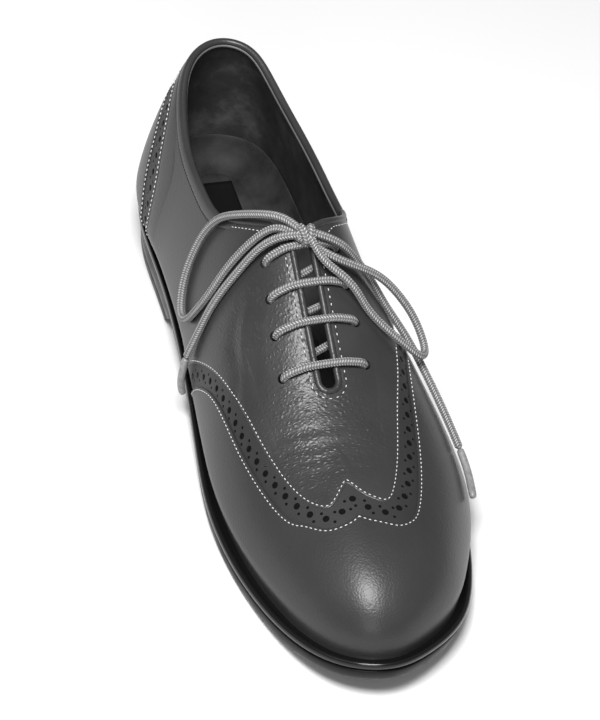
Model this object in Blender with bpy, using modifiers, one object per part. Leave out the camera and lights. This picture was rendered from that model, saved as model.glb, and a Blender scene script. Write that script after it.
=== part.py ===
"""Grey leather wing-tip lace-up shoe for the right foot, standing empty on its sole.

Lengths in the tables are millimetres; MM turns them into metres where a mesh is made.
The shoe is measured from the heel back (x = 0) to the toe tip, with y towards the inner
side of the foot and z up from the floor.  PLACE moves that corner to the middle of the base,
with the counter's and the cap's overhang counted in.
"""
import bmesh
import bpy
import numpy as np
from mathutils import Vector

MM = 0.001

# Driving sizes
LENGTH = 263.0
MIDDLE = (130.54, 3.79)
GAP = 0.3
HEEL_SEAT = 18.3
FOREFOOT_STACK = 8.4
TOE_SPRING = 10.7
WAIST_LIFT = 11.6
WELT_HEIGHT = 2.6
WALL = 2.0
INSOLE = 2.5
INSOLE_CLEAR = 1.2
OVERLAY_LIFT = 0.6
COUNTER_LIFT = 0.8
CLEAR_OF_WELT = 0.9
COUNTER_CLEAR = 1.6
CAP_THICKNESS = 1.0
BAND_THICKNESS = 0.5
LACE = 2.8
CORD_STEP = 2.4
SLIT_HALF = 3.6
CORNER_ROUND = 5.0
SWELL_START = 9.0
SWELL_SHAPE = 0.45
INSIDE_LEVEL = 25.0
EYELET = 3.6
AGLET = 3.0
KNOT = (6.4, 8.0, 4.8)
KNOT_PLACE = (126.2, 0.5, 87.2)

# Where things change along the shoe
HEEL_BREAST_FLOOR = 70.0
HEEL_BREAST_TOP = 82.0
TREAD_START = 178.0
TREAD_END = 195.0
FACING_CORNER = 118.0
SLIT_END = 171.0
LAST_CONE = 23.0
LEAN_END = 70.0
LEAN_SHAPE = 1.5
SWELL_FADE = 12.0

SOLE_OUTLINE = (
    # x, y  round the inner side to the toe, back by the outer side
    (0, 0), (7, 17.5), (24, 24.5), (55, 26), (95, 28.5), (130, 36.5), (165, 45),
    (195, 47), (222, 41), (244, 30), (258, 13.5), (263, -1), (257.5, -16), (242, -27.5),
    (215, -36), (180, -40.5), (145, -38), (105, -34), (60, -32.5), (24, -30.5), (7, -19.5),
)
WELT_WIDTH = (
    # x, from the sole's edge to the upper
    (0, 2.2), (60, 2.3), (100, 2.9), (140, 4.0), (180, 4.8), (263, 4.8),
)
LAST_TOP = (
    # x, y, z  crest of the last, from the cone over the heel down to the toe
    (23, 0.5, 101), (60, 0.3, 101), (90, 0, 97.5), (105, 0, 92), (118, 0, 85), (135, 0, 75.3),
    (150, 0, 66.5), (165, 0.3, 58), (180, 0.9, 51.2), (200, 2.0, 45.6), (220, 2.5, 42.3),
    (238, 2.0, 38.4), (250, 0.5, 32.4), (256, -0.7, 25.4),
)
LAST_SECTION = (
    # x from the upper's back, fullness inner, fullness outer, swell inner, swell outer
    (0, 1.9, 1.9, 3.0, 3.0), (22, 1.8, 1.5, 3.0, 4.0), (48, 2.1, 1.42, 3.0, 4.6), (72, 2.6, 1.46, 3.4, 4.6),
    (96, 2.5, 1.6, 4.4, 4.0), (135, 2.25, 1.95, 6.4, 3.2), (168, 2.2, 2.1, 7.2, 3.0),
    (198, 2.2, 2.2, 5.2, 2.7), (228, 2.25, 2.25, 2.2, 1.8), (260, 2.3, 2.3, 0.1, 0.5),
)
COLLAR = (
    # x from the upper's back, z inner, z outer  height of the top line
    (0, 81, 81), (8, 79.5, 79), (21, 75.5, 74.0), (47, 71.5, 67.0), (72, 69.0, 66.5),
    (95, 70.5, 72.0), (105, 75.5, 78.5), (111, 80.5, 82.0), (116, 84.5, 84.5),
)
WING_OUTER_SIDE = (
    # across, x of the lower seam, x of the upper seam  from the welt up to the wing's point
    (-1.0, 125.5, 113.5), (-0.93, 127.8, 116.4), (-0.85, 131.7, 121.0), (-0.77, 139.0, 129.0),
    (-0.69, 149.7, 138.5), (-0.635, 161.5, 146.0), (-0.575, 180.0, 155.5), (-0.5, 203.7, 169.5),
    (-0.405, 213.0, 196.0), (-0.31, 218.0, 208.8), (-0.19, 219.5, 211.4), (-0.12, 218.6, 207.6),
    (-0.075, 217.2, 204.4),
)
WING_INNER_SIDE = (
    # across, x of the lower seam, x of the upper seam  from the wing's point down to the welt
    (-0.075, 217.2, 204.4), (-0.02, 219.4, 209.6), (0.05, 221.5, 213.4), (0.12, 222.7, 213.0),
    (0.19, 221.5, 204.5), (0.25, 217.6, 192.6), (0.313, 205.1, 178.8), (0.36, 191.2, 170.3),
    (0.41, 177.0, 162.5), (0.475, 163.0, 152.7), (0.58, 149.0, 140.5), (0.72, 138.0, 129.0),
    (0.87, 130.0, 120.0), (1.0, 126.0, 115.5),
)
WING_POINT = -0.075
WING_FRONT = 230.5
WING_COLUMNS = 8
COUNTER_BAND = (
    # front edge x and z, rear edge x and z  from the welt up and round to the back seam
    (52.0, 20.0, 43.0, 20.0), (50.5, 31.0, 41.3, 28.0), (46.5, 43.0, 37.7, 34.5), (40.0, 51.5, 32.0, 43.0),
    (31.0, 60.5, 24.5, 54.0), (20.0, 68.5, 15.0, 62.5), (9.5, 73.0, 7.0, 66.5), (2.5, 75.0, 2.5, 68.0),
)
EYELETS = (
    # x, half the distance across the slit
    (162.4, 14.0), (148.6, 13.7), (136.9, 12.9), (124.9, 12.1),
)
LACE_LOOP_OUTER = (
    # x, rise, lift off the leather  from the knot out over the quarter and back
    (116.6, 0.90, 5.0), (112.5, 0.80, 5.0), (105.0, 0.655, 4.0), (98.0, 0.55, 3.0), (94.2, 0.455, 2.3),
    (94.0, 0.371, 2.0), (95.5, 0.305, 2.0), (99.0, 0.243, 2.0), (103.5, 0.212, 2.0), (108.5, 0.232, 2.0),
    (112.5, 0.297, 2.0), (115.5, 0.405, 2.0), (115.8, 0.506, 2.0), (116.4, 0.622, 2.4), (117.0, 0.745, 3.0),
    (118.6, 0.86, 3.6),
)
LACE_LOOP_INNER = (
    # x, rise, lift off the leather  from the knot out over the quarter and back
    (127.0, 0.95, 4.2), (130.4, 0.87, 5.0), (132.2, 0.77, 6.0), (133.4, 0.64, 7.6), (136.5, 0.53, 8.8),
    (140.5, 0.455, 9.2), (145.5, 0.41, 8.6), (150.0, 0.4, 7.4), (153.0, 0.44, 6.2), (152.0, 0.51, 4.8),
    (148.6, 0.61, 3.2), (143.9, 0.71, 2.8), (140.6, 0.78, 4.8), (136.6, 0.85, 5.8), (131.6, 0.93, 5.4),
)
LACE_END_OUTER = (
    # x, rise, lift off the leather  from the knot down to the tip
    (122.2, 0.88, 5.4), (121.4, 0.757, 4.2), (121.0, 0.614, 2.2), (120.8, 0.498, 2.0), (120.6, 0.398, 2.0),
    (120.8, 0.293, 2.0), (121.2, 0.225, 2.6),
)
LACE_END_INNER = (
    # x, rise, lift off the leather  from the knot down to the tip
    (124.2, 0.90, 5.6), (126.0, 0.80, 5.0), (128.0, 0.68, 3.0), (130.4, 0.57, 2.2), (134.4, 0.47, 2.0),
    (141.0, 0.39, 3.2), (150.0, 0.345, 3.7), (160.0, 0.32, 3.7), (170.0, 0.30, 3.6), (179.0, 0.285, 3.6),
)
AGLET_OUTER = (
    # x, rise, lift off the leather
    (121.6, 0.185, 3.2), (123.2, 0.10, 4.4), (124.2, 0.05, 5.4),
)
AGLET_INNER = (
    # x, rise, lift off the leather
    (180.5, 0.282, 3.6), (189.0, 0.262, 3.6), (199.5, 0.245, 3.6),
)
OUTSOLE_SIDE = (
    # share of the thickness from the tread up, inset from the outline
    (0.0, 2.2), (0.12, 1.0), (0.45, 0.6), (0.85, 0.7), (1.0, 1.4),
)
WELT_PROFILE = (
    # share of the width from the outer edge, share of the height
    (0.14, 0.0), (0.0, 0.25), (0.0, 0.8), (0.1, 1.12), (0.28, 1.2), (0.46, 1.05), (0.6, 0.86), (1.0, 0.9),
    (1.0, 0.0),
)
INSOLE_SIDE = (
    # share of the thickness, inset from the edge
    (0.0, 0.6), (0.6, 0.0), (1.0, 0.5),
)
HEEL_COLUMNS = 13
HEEL_SPACING = 1.7
HEEL_SIDE = (
    # share of the height, inset from the outline
    (0.0, 2.6), (0.06, 2.0), (0.4, 1.6), (0.44, 2.1), (0.48, 1.5), (1.0, 1.2),
)


def spline(knots, rows, closed=False):
    """Smooth curve through rows at the given knots, as a function of the knot value."""
    knots = np.asarray(knots, float)
    rows = np.asarray(rows, float)
    step = np.diff(knots)
    count = len(knots)
    matrix = np.zeros((count, count))
    right = np.zeros(rows.shape)
    slope = np.diff(rows, axis=0) / step[:, None]
    for i in range(1, count - 1):
        matrix[i, i - 1:i + 2] = step[i - 1], 2 * (step[i - 1] + step[i]), step[i]
        right[i] = 6 * (slope[i] - slope[i - 1])
    matrix[0, 0] = matrix[-1, -1] = 1
    if closed:
        matrix[0, [0, 1, -2]] = 2 * (step[0] + step[-1]), step[0], step[-1]
        right[0] = 6 * (slope[0] - slope[-1])
        matrix[-1, 0] = -1
    bend = np.linalg.solve(matrix, right)

    def curve(value):
        value = np.clip(np.asarray(value, float), knots[0], knots[-1])
        i = np.clip(np.searchsorted(knots, value, side="right") - 1, 0, count - 2)
        width = step[i][..., None]
        left = (knots[i + 1] - value)[..., None]
        past = (value - knots[i])[..., None]
        lifted = (bend[i] * left**3 + bend[i + 1] * past**3) / (6 * width)
        return (lifted + (rows[i] / width - bend[i] * width / 6) * left
                + (rows[i + 1] / width - bend[i + 1] * width / 6) * past)

    return curve


def table(rows):
    """Columns of a table as smooth functions of its first column."""
    rows = np.asarray(rows, float)
    return spline(rows[:, 0], rows[:, 1:])


def through(points, count, closed=False):
    """Evenly numbered points on a smooth curve through a few."""
    points = np.asarray(points, float)
    if closed:
        points = np.vstack([points, points[:1]])
    knots = np.concatenate([[0], np.cumsum(np.sqrt(np.linalg.norm(np.diff(points, axis=0), axis=1)))])
    return spline(knots, points, closed)(np.linspace(0, knots[-1], count))


welt_width = table(WELT_WIDTH)
last_section = table(LAST_SECTION)
collar_height = table(COLLAR)
wing_outer_side = table(WING_OUTER_SIDE)
wing_inner_side = table(WING_INNER_SIDE)
EDGE = through(SOLE_OUTLINE, 4001, closed=True)[:-1]
PLACE = np.array([*MIDDLE, 0.0])


def edge_sides(inset):
    """The sole's edge moved in by a width: the inner and the outer side, heel back to toe tip."""
    run = np.roll(EDGE, -1, axis=0) - np.roll(EDGE, 1, axis=0)
    inward = np.stack([run[:, 1], -run[:, 0]], axis=1)
    inward /= np.linalg.norm(inward, axis=1)[:, None]
    width = inset(EDGE[:, 0])[:, 0] if callable(inset) else inset
    line = EDGE + inward * np.reshape(width, (-1, 1))
    line = np.roll(line, -line[:, 0].argmin(), axis=0)
    tip = line[:, 0].argmax()
    return line[:tip + 1], np.vstack([line[tip:], line[:1]])[::-1]


def at_stations(lines, stations):
    """Points of the two side lines at cosine-spaced stations from the heel (0) to the toe (1)."""
    points = []
    for line in lines:
        reach = np.maximum.accumulate(line[:, 0])
        x = line[0, 0] + (line[-1, 0] - line[0, 0]) * (1 - np.cos(np.pi * stations)) / 2
        points.append(np.stack([x, np.interp(x, reach, line[:, 1])], axis=-1))
    return points


def tread_height(x):
    """Underside of the outsole: waist lift behind the tread and toe spring in front of it."""
    lift = np.clip((TREAD_START - x) / (TREAD_START - HEEL_BREAST_FLOOR), 0, 1)
    spring = np.clip((x - TREAD_END) / (LENGTH - TREAD_END), 0, 1) ** 2
    return WAIST_LIFT * lift**2 * (3 - 2 * lift) + TOE_SPRING * spring


def welt_top(x):
    """Level where the upper comes out of the welt."""
    rise = np.clip((TREAD_START - x) / (TREAD_START - HEEL_BREAST_FLOOR), 0, 1)
    spring = np.clip((x - TREAD_END) / (LENGTH - TREAD_END), 0, 1) ** 2
    seat = (HEEL_SEAT - FOREFOOT_STACK) * rise**2 * (3 - 2 * rise)
    return FOREFOOT_STACK + seat + TOE_SPRING * spring


FEATHER = edge_sides(lambda x: welt_width(x) + GAP)
FEATHER_HEEL = FEATHER[0][0, 0]
FEATHER_TOE = FEATHER[0][-1]
TOE_FOOT = welt_top(FEATHER_TOE[0]) - WELT_HEIGHT + GAP
CREST = through(LAST_TOP + ((*FEATHER_TOE, TOE_FOOT),), 1201)


def station(x):
    """Station of a place along the upper's lower edge."""
    share = (np.asarray(x, float) - FEATHER_HEEL) / (FEATHER_TOE[0] - FEATHER_HEEL)
    return np.arccos(1 - 2 * np.clip(share, 0, 1)) / np.pi


def last_point(side, stations, rise):
    """Point of the upper's outer face; rise runs from the welt (0) to the crest (1)."""
    stations, rise = np.broadcast_arrays(np.asarray(stations, float), np.asarray(rise, float))
    foot = at_stations(FEATHER, stations)[0 if side > 0 else 1]
    foot_x, foot_y = foot[..., 0], foot[..., 1]
    foot_z = welt_top(foot_x) - WELT_HEIGHT + GAP
    lean = (1 - np.clip(foot_x / LEAN_END, 0, 1)) ** LEAN_SHAPE
    crest_x = foot_x + (LAST_CONE - FEATHER_HEEL) * lean
    crest_y = np.interp(crest_x, CREST[:, 0], CREST[:, 1])
    crest_z = np.interp(crest_x, CREST[:, 0], CREST[:, 2])
    section = last_section(foot_x - FEATHER_HEEL)
    inner_fullness, outer_fullness, inner_swell, outer_swell = np.moveaxis(section, -1, 0)
    fullness = inner_fullness if side > 0 else outer_fullness
    swell = inner_swell if side > 0 else outer_swell
    angle = np.pi / 2 * rise
    spread = np.clip(np.cos(angle), 0, 1) ** (2 / fullness)
    height = np.clip(np.sin(angle), 0, 1) ** (2 / fullness)
    span_x, span_y = foot_x - crest_x, foot_y - crest_y
    span = np.hypot(span_x, span_y) + 1e-9
    above_foot = (crest_z - foot_z) * height
    clear = np.clip((above_foot - WELT_HEIGHT) / SWELL_START, 0, 1)
    ease = clear**2 * (3 - 2 * clear) * np.clip(span / SWELL_FADE, 0, 1)
    out = spread + swell * ease * np.sin(np.pi * height**SWELL_SHAPE) / span
    return np.stack([crest_x + span_x * out, crest_y + span_y * out, foot_z + above_foot], axis=-1)


RISES = np.linspace(0, 1, 401)


def rise_at_height(side, where, height):
    """Rise at which a station's section reaches a height."""
    return np.interp(height, last_point(side, where, RISES)[:, 2], RISES)


def rise_at_slit(side, where, half_width):
    """Rise at which a station's section comes within half the slit's width of its middle."""
    return np.interp(-half_width, -np.abs(last_point(side, where, RISES)[:, 1]), RISES)


def top_rise(side, where, x):
    """Rise of the upper's top edge: the collar behind the facings, then the slit, then the crest."""
    if x >= SLIT_END:
        return 1.0
    closing = np.sqrt(1 - (1 - np.clip((SLIT_END - x) / SLIT_HALF, 0, 1)) ** 2)
    corner = 1 - np.sqrt(1 - np.clip((FACING_CORNER + CORNER_ROUND - x) / CORNER_ROUND, 0, 1) ** 2)
    slit = rise_at_slit(side, where, SLIT_HALF * closing + CORNER_ROUND * corner)
    collar = rise_at_height(side, where, collar_height(x - FEATHER_HEEL)[0 if side > 0 else 1])
    if x > FACING_CORNER:
        return slit
    return min(slit, collar) if x > FACING_CORNER - CORNER_ROUND else collar


def welt_rise(side, where):
    """Rise just clear of the welt's top."""
    level = welt_top(at_stations(FEATHER, np.asarray(where))[0][..., 0])
    return float(rise_at_height(side, where, level + CLEAR_OF_WELT))


def wing_lines(across):
    """Where the wing's lower and upper seams cross a line of equal rise."""
    return (wing_outer_side if across < WING_POINT else wing_inner_side)(across)


bpy.ops.object.select_all(action="DESELECT")
for old in list(bpy.data.objects):
    bpy.data.objects.remove(old, do_unlink=True)
shoe = bpy.data.collections.new("leather_shoe")
cutters = bpy.data.collections.new("cutters")
bpy.context.scene.collection.children.link(shoe)
bpy.context.scene.collection.children.link(cutters)


def material(name, colour, roughness):
    """Plain finish: base colour and roughness, no metal on this shoe."""
    finish = bpy.data.materials.new(name)
    finish.use_nodes = True
    shader = finish.node_tree.nodes["Principled BSDF"]
    shader.inputs["Base Color"].default_value = (*colour, 1)
    shader.inputs["Roughness"].default_value = roughness
    shader.inputs["Metallic"].default_value = 0.0
    return finish


SMOOTH_LEATHER = material("smooth_leather", (0.07, 0.07, 0.07), 0.42)
BAND_LEATHER = material("band_leather", (0.045, 0.045, 0.045), 0.55)
LINING_LEATHER = material("lining_leather", (0.03, 0.03, 0.03), 0.6)
SOLE_RUBBER = material("sole_rubber", (0.008, 0.008, 0.008), 0.3)
LACE_CORD = material("lace_cord", (0.2, 0.2, 0.2), 0.8)
AGLET_FILM = material("aglet_film", (0.12, 0.12, 0.12), 0.35)


def mesh_object(name, quads, finish, lift=0.0):
    """A named object from grids of points: quads holds (grid, closed along, closed across).

    An open surface is turned to face away from the inside of the shoe, then lifted along its normals.
    """
    bm = bmesh.new()
    for grid, loop_rows, loop_columns in quads:
        rows, columns = grid.shape[:2]
        points = [[bm.verts.new(tuple((p - PLACE) * MM)) for p in row] for row in grid]
        for i in range(rows if loop_rows else rows - 1):
            for j in range(columns if loop_columns else columns - 1):
                low, high = points[i], points[(i + 1) % rows]
                bm.faces.new((low[j], low[(j + 1) % columns], high[(j + 1) % columns], high[j]))
    bmesh.ops.remove_doubles(bm, verts=bm.verts, dist=1e-6)
    bmesh.ops.dissolve_degenerate(bm, edges=bm.edges, dist=1e-7)
    bmesh.ops.recalc_face_normals(bm, faces=bm.faces)
    if any(edge.is_boundary for edge in bm.edges):
        middle = sum((v.co for v in bm.verts), Vector()) / len(bm.verts)
        inside = Vector((middle.x, 0, INSIDE_LEVEL * MM))
        if sum(f.normal.dot(f.calc_center_median() - inside) * f.calc_area() for f in bm.faces) < 0:
            bmesh.ops.reverse_faces(bm, faces=bm.faces)
        bm.normal_update()
        for vertex in bm.verts:
            vertex.co += vertex.normal * (lift * MM)
    mesh = bpy.data.meshes.new(name)
    bm.to_mesh(mesh)
    bm.free()
    mesh.shade_smooth()
    mesh.materials.append(finish)
    piece = bpy.data.objects.new(name, mesh)
    shoe.objects.link(piece)
    return piece


def stacked(name, levels, finish):
    """A solid from pairs of side lines, one pair for each level, closed across its top and bottom."""
    rings = np.array([np.vstack([inner, outer[::-1]]) for inner, outer in levels])
    floor = np.stack([levels[0][0], levels[0][1]])
    roof = np.stack([levels[-1][0], levels[-1][1]])
    return mesh_object(name, [(rings, False, True), (floor, False, False), (roof, False, False)], finish)


def shell(piece, thickness, grow_out):
    """Give an open surface its thickness."""
    wall = piece.modifiers.new("wall", "SOLIDIFY")
    wall.thickness = thickness * MM
    wall.offset = 1.0 if grow_out else -1.0
    wall.use_even_offset = True
    wall.use_quality_normals = True
    return piece


def with_height(lines, height):
    """Side lines with their heights, from a number or a function of x."""
    return [np.column_stack([line, height(line[:, 0]) if callable(height) else np.full(len(line), height)])
            for line in lines]


PLACES = np.array([
    6, 9.5, 15, 23, 33, 45, 58, 71, 83, 94, 102, 108, 112, 115, 118, 121.5, 129, 138, 147, 156,
    164, 168, 170.3, 171, 179, 188, 197, 206, 215, 223, 230.5, 237.5, 243.5, 248.5, 252.3, 255.2, 257.2,
])
STATIONS = np.concatenate([[0], station(PLACES), [1]])


def outsole():
    """Rubber outsole from heel seat to toe, with its arch, flat tread, toe spring and rounded side."""
    levels = []
    for share, inset in OUTSOLE_SIDE:
        lines = at_stations(edge_sides(inset), STATIONS)
        levels.append(with_height(lines, lambda x: tread_height(x) + share * (
            welt_top(x) - WELT_HEIGHT - tread_height(x))))
    return stacked("outsole", levels, SOLE_RUBBER)


def heel():
    """Heel block under the seat, with the seam of its top piece and a slanted breast."""
    levels = []
    height = WAIST_LIFT - GAP
    for share, inset in HEEL_SIDE:
        breast = HEEL_BREAST_FLOOR + (HEEL_BREAST_TOP - HEEL_BREAST_FLOOR) * share
        along = np.linspace(0, 1, HEEL_COLUMNS) ** HEEL_SPACING
        lines = []
        for line in edge_sides(inset):
            x = line[0, 0] + (breast - line[0, 0]) * along
            y = np.interp(x, np.maximum.accumulate(line[:, 0]), line[:, 1])
            z = np.minimum(share * height, tread_height(x) - GAP)
            lines.append(np.column_stack([x, y, z]))
        levels.append(lines)
    return stacked("heel", levels, SOLE_RUBBER)


def welt():
    """Moulded welt round the whole shoe, with a raised bead at its outer edge."""
    grid = []
    for share, rise in WELT_PROFILE:
        sides = at_stations(edge_sides(lambda x: share * welt_width(x)), STATIONS)
        inner, outer = with_height(sides, lambda x: welt_top(x) + (rise - 1) * (WELT_HEIGHT - GAP))
        grid.append(np.vstack([inner, outer[-2:0:-1]]))
    return mesh_object("welt", [(np.array(grid), True, True)], SOLE_RUBBER)


def insole():
    """Sock-covered insole inside the upper's lower edge."""
    levels = []
    for share, inset in INSOLE_SIDE:
        lines = at_stations(edge_sides(lambda x: welt_width(x) + WALL + INSOLE_CLEAR + inset), STATIONS)
        levels.append(with_height(lines, lambda x: welt_top(x) - WELT_HEIGHT + GAP + share * INSOLE))
    return stacked("insole", levels, LINING_LEATHER)


BAND_ROWS = (0, 0.5, 1)
RISE_ROWS = np.array([0.1, 0.19, 0.29, 0.4, 0.52, 0.64, 0.76, 0.88])


def upper():
    """Vamp and quarters as one hollow wall, open at the collar, down the slit and underneath."""
    sides = []
    places = np.concatenate([[FEATHER_HEEL], PLACES, [FEATHER_TOE[0]]])
    for side in (1, -1):
        grid = []
        for where, x in zip(STATIONS, places):
            start = welt_rise(side, where)
            top = max(top_rise(side, where, x), start)
            rises = np.clip(RISE_ROWS * min(1, top / RISE_ROWS[-1]), start, top)
            grid.append(last_point(side, where, np.concatenate([[0, start], rises, [top]])))
        sides.append((np.array(grid), False, False))
    return shell(mesh_object("upper", sides, SMOOTH_LEATHER), WALL, grow_out=False)


def eyelet_rise(side, x, half_width):
    """Rise of an eyelet on its facing."""
    return float(rise_at_slit(side, float(station(x)), half_width))


def outward(side, where, rise):
    """Direction straight out of the leather."""
    small = 1e-3
    along = last_point(side, where + small, rise) - last_point(side, where - small, rise)
    up = last_point(side, where, rise + small) - last_point(side, where, rise - small)
    normal = np.cross(along, up) * -side
    return normal / np.linalg.norm(normal)


def punch_eyelets(piece):
    """Cut the lace holes through both facings."""
    bm = bmesh.new()
    for x, half_width in EYELETS:
        for side in (1, -1):
            rise = eyelet_rise(side, x, half_width)
            where = float(station(x))
            turn = Vector(outward(side, where, rise)).to_track_quat("Z", "Y").to_matrix().to_4x4()
            turn.translation = Vector((last_point(side, where, rise) - PLACE) * MM)
            bmesh.ops.create_cone(
                bm, cap_ends=True, segments=12, radius1=EYELET / 2 * MM, radius2=EYELET / 2 * MM,
                depth=4 * WALL * MM, matrix=turn)
    mesh = bpy.data.meshes.new("eyelet_punch")
    bm.to_mesh(mesh)
    bm.free()
    punch = bpy.data.objects.new("eyelet_punch", mesh)
    punch.hide_render = True
    punch.display_type = "WIRE"
    cutters.objects.link(punch)
    cut = piece.modifiers.new("eyelets", "BOOLEAN")
    cut.object = punch
    cut.operation = "DIFFERENCE"


def wing_point(across, x):
    """Point of the upper at a place across the forefoot, kept clear of the welt."""
    side = 1 if across > 0 else -1
    where = float(station(x))
    return last_point(side, where, max(1 - abs(across), welt_rise(side, where)))


WING_ACROSS = np.array([
    -1, -0.9, -0.81, -0.71, -0.635, -0.575, -0.535, -0.5, -0.455, -0.405, -0.36, -0.31, -0.25, -0.19, -0.12,
    WING_POINT, -0.02, 0.05, 0.12, 0.19, 0.25, 0.313, 0.36, 0.41, 0.475, 0.53, 0.6, 0.71, 0.81, 0.9, 1,
])
TOE_COLUMNS = PLACES[PLACES > WING_FRONT]
TOE_END = CREST[CREST[:, 2] > welt_top(CREST[:, 0]) + CLEAR_OF_WELT][-1, 0]


def wing_cap():
    """Smooth wing-shaped toe cap from its lower seam to the toe."""
    grid = []
    for across in WING_ACROSS:
        back = np.linspace(wing_lines(across)[0], WING_FRONT, WING_COLUMNS)
        grid.append([wing_point(across, x) for x in (*back, *TOE_COLUMNS, TOE_END)])
    return shell(mesh_object("wing_cap", [(np.array(grid), False, False)], SMOOTH_LEATHER, OVERLAY_LIFT),
                 CAP_THICKNESS, grow_out=True)


def wing_band():
    """Punched strip between the wing's two seams."""
    grid = []
    for across in WING_ACROSS:
        low, high = wing_lines(across)
        grid.append([wing_point(across, high + (low - GAP - high) * share) for share in BAND_ROWS])
    return shell(mesh_object("wing_band", [(np.array(grid), False, False)], BAND_LEATHER, OVERLAY_LIFT),
                 BAND_THICKNESS, grow_out=True)


def wall_point(side, x, height):
    """Point of the rear wall at a height, kept clear of the welt."""
    where = float(station(x))
    return last_point(side, where, max(float(rise_at_height(side, where, height)), welt_rise(side, where)))


counter_band_edges = table([(i, *row) for i, row in enumerate(COUNTER_BAND)])
COUNTER_REACH = 0.983
COUNTER_ROWS = (0, 0.1, 0.22, 0.42, 0.68, 1)
COUNTER_PLACES = (42.2, 41.4, 39.8, 36.5, 33, 28, 23, 19, 15, 12, 9.5, 7.5, 6, 4, FEATHER_HEEL)
COUNTER_STEPS = (len(COUNTER_BAND) - 1) * (1 - np.cos(np.pi * np.linspace(0, 1, 17))) / 2


def heel_counter():
    """Heel counter round the back, below its punched strip."""
    edge = counter_band_edges(np.linspace(len(COUNTER_BAND) - 1, 0, 201))
    grid = []
    for side, places in ((-1, COUNTER_PLACES), (1, COUNTER_PLACES[-2::-1])):
        for x in places:
            low = welt_top(x) + COUNTER_CLEAR
            top = np.interp(FEATHER_HEEL + (x - FEATHER_HEEL) / COUNTER_REACH, edge[:, 2], edge[:, 3])
            height = max(top - 2 * GAP - low, 1)
            grid.append([wall_point(side, x, low + height * share) for share in COUNTER_ROWS])
    return shell(mesh_object("heel_counter", [(np.array(grid), False, False)], SMOOTH_LEATHER, COUNTER_LIFT),
                 CAP_THICKNESS, grow_out=True)


def counter_band():
    """Punched strip along the counter's front edge, up one side, round the back and down the other."""
    grid = []
    for side, steps in ((-1, COUNTER_STEPS), (1, COUNTER_STEPS[-2::-1])):
        for step in steps:
            front_x, front_z, rear_x, rear_z = counter_band_edges(step)
            run_x, run_z = front_x - rear_x, front_z - rear_z
            places = [(rear_x + run_x * share, rear_z + run_z * share) for share in BAND_ROWS]
            grid.append([wall_point(side, x, z) for x, z in places])
    return shell(mesh_object("counter_band", [(np.array(grid), False, False)], BAND_LEATHER, OVERLAY_LIFT),
                 BAND_THICKNESS, grow_out=True)


def cord(name, points, diameter, finish):
    """Round cord or tip along a smooth run of points, with closed ends."""
    points = np.asarray(points)
    length = np.linalg.norm(np.diff(points, axis=0), axis=1).sum()
    run = through(points, max(3, int(length / (CORD_STEP * diameter)) + 2))
    curve = bpy.data.curves.new(name, "CURVE")
    curve.dimensions = "3D"
    curve.bevel_depth = diameter / 2 * MM
    curve.bevel_resolution = 2
    curve.use_fill_caps = True
    line = curve.splines.new("POLY")
    line.points.add(len(run) - 1)
    for place, point in zip(line.points, run):
        place.co = (*((point - PLACE) * MM), 1)
    curve.materials.append(finish)
    piece = bpy.data.objects.new(name, curve)
    shoe.objects.link(piece)
    return piece


def off_leather(side, rows):
    """Lace route: points lifted off the upper."""
    points = []
    for x, rise, lift in rows:
        where = float(station(x))
        points.append(last_point(side, where, rise) + lift * outward(side, where, rise))
    return points


BAR_SHARES = (1, 0.8, 0.6, 0.4)
DIAGONAL_SHARE = 0.85
DIAGONAL_SHIFT = 3.0


def lace_bars():
    """Straight laces across the slit, one for each pair of eyelets."""
    for number, (x, half_width) in enumerate(EYELETS, start=1):
        points = []
        for side in (-1, 1):
            lift = LACE / 2 + 2 * GAP
            rows = [(x, eyelet_rise(side, x, half_width * share), lift) for share in BAR_SHARES]
            run = off_leather(side, rows)
            points += run if side < 0 else run[::-1]
        cord(f"lace_bar_{number}", points, LACE, LACE_CORD)


def lace_diagonals():
    """Laces inside the slit, from an outer eyelet up to the next inner one."""
    inside = -(WALL + LACE / 2 + 2 * GAP)
    for number, (low, high) in enumerate(zip(EYELETS, EYELETS[1:]), start=1):
        low_x, low_half = low[0] - DIAGONAL_SHIFT, low[1] * DIAGONAL_SHARE
        high_x, high_half = high[0] + DIAGONAL_SHIFT, high[1] * DIAGONAL_SHARE
        start = off_leather(-1, [(low_x, eyelet_rise(-1, low_x, low_half), inside)])[0]
        end = off_leather(1, [(high_x, eyelet_rise(1, high_x, high_half), inside)])[0]
        cord(f"lace_diagonal_{number}", [start, (start + end) / 2, end], LACE, LACE_CORD)


def lace_knot():
    """Knot of the bow, on top of the last bar."""
    bpy.ops.mesh.primitive_uv_sphere_add(segments=14, ring_count=9, radius=1.0)
    knot = bpy.context.object
    knot.name = "lace_knot"
    knot.data.name = "lace_knot"
    for vertex in knot.data.vertices:
        vertex.co *= Vector(KNOT) / 2 * MM
    knot.location = Vector((np.array(KNOT_PLACE) - PLACE) * MM)
    knot.data.shade_smooth()
    knot.data.materials.append(LACE_CORD)
    for home in list(knot.users_collection):
        home.objects.unlink(knot)
    shoe.objects.link(knot)


outsole()
heel()
welt()
insole()
punch_eyelets(upper())
wing_cap()
wing_band()
heel_counter()
counter_band()
lace_bars()
lace_diagonals()
lace_knot()
cord("lace_loop_outer", off_leather(-1, LACE_LOOP_OUTER), LACE, LACE_CORD)
cord("lace_loop_inner", off_leather(1, LACE_LOOP_INNER), LACE, LACE_CORD)
cord("lace_end_outer", off_leather(-1, LACE_END_OUTER), LACE, LACE_CORD)
cord("lace_end_inner", off_leather(1, LACE_END_INNER), LACE, LACE_CORD)
cord("aglet_outer", off_leather(-1, AGLET_OUTER), AGLET, AGLET_FILM)
cord("aglet_inner", off_leather(1, AGLET_INNER), AGLET, AGLET_FILM)
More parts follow.
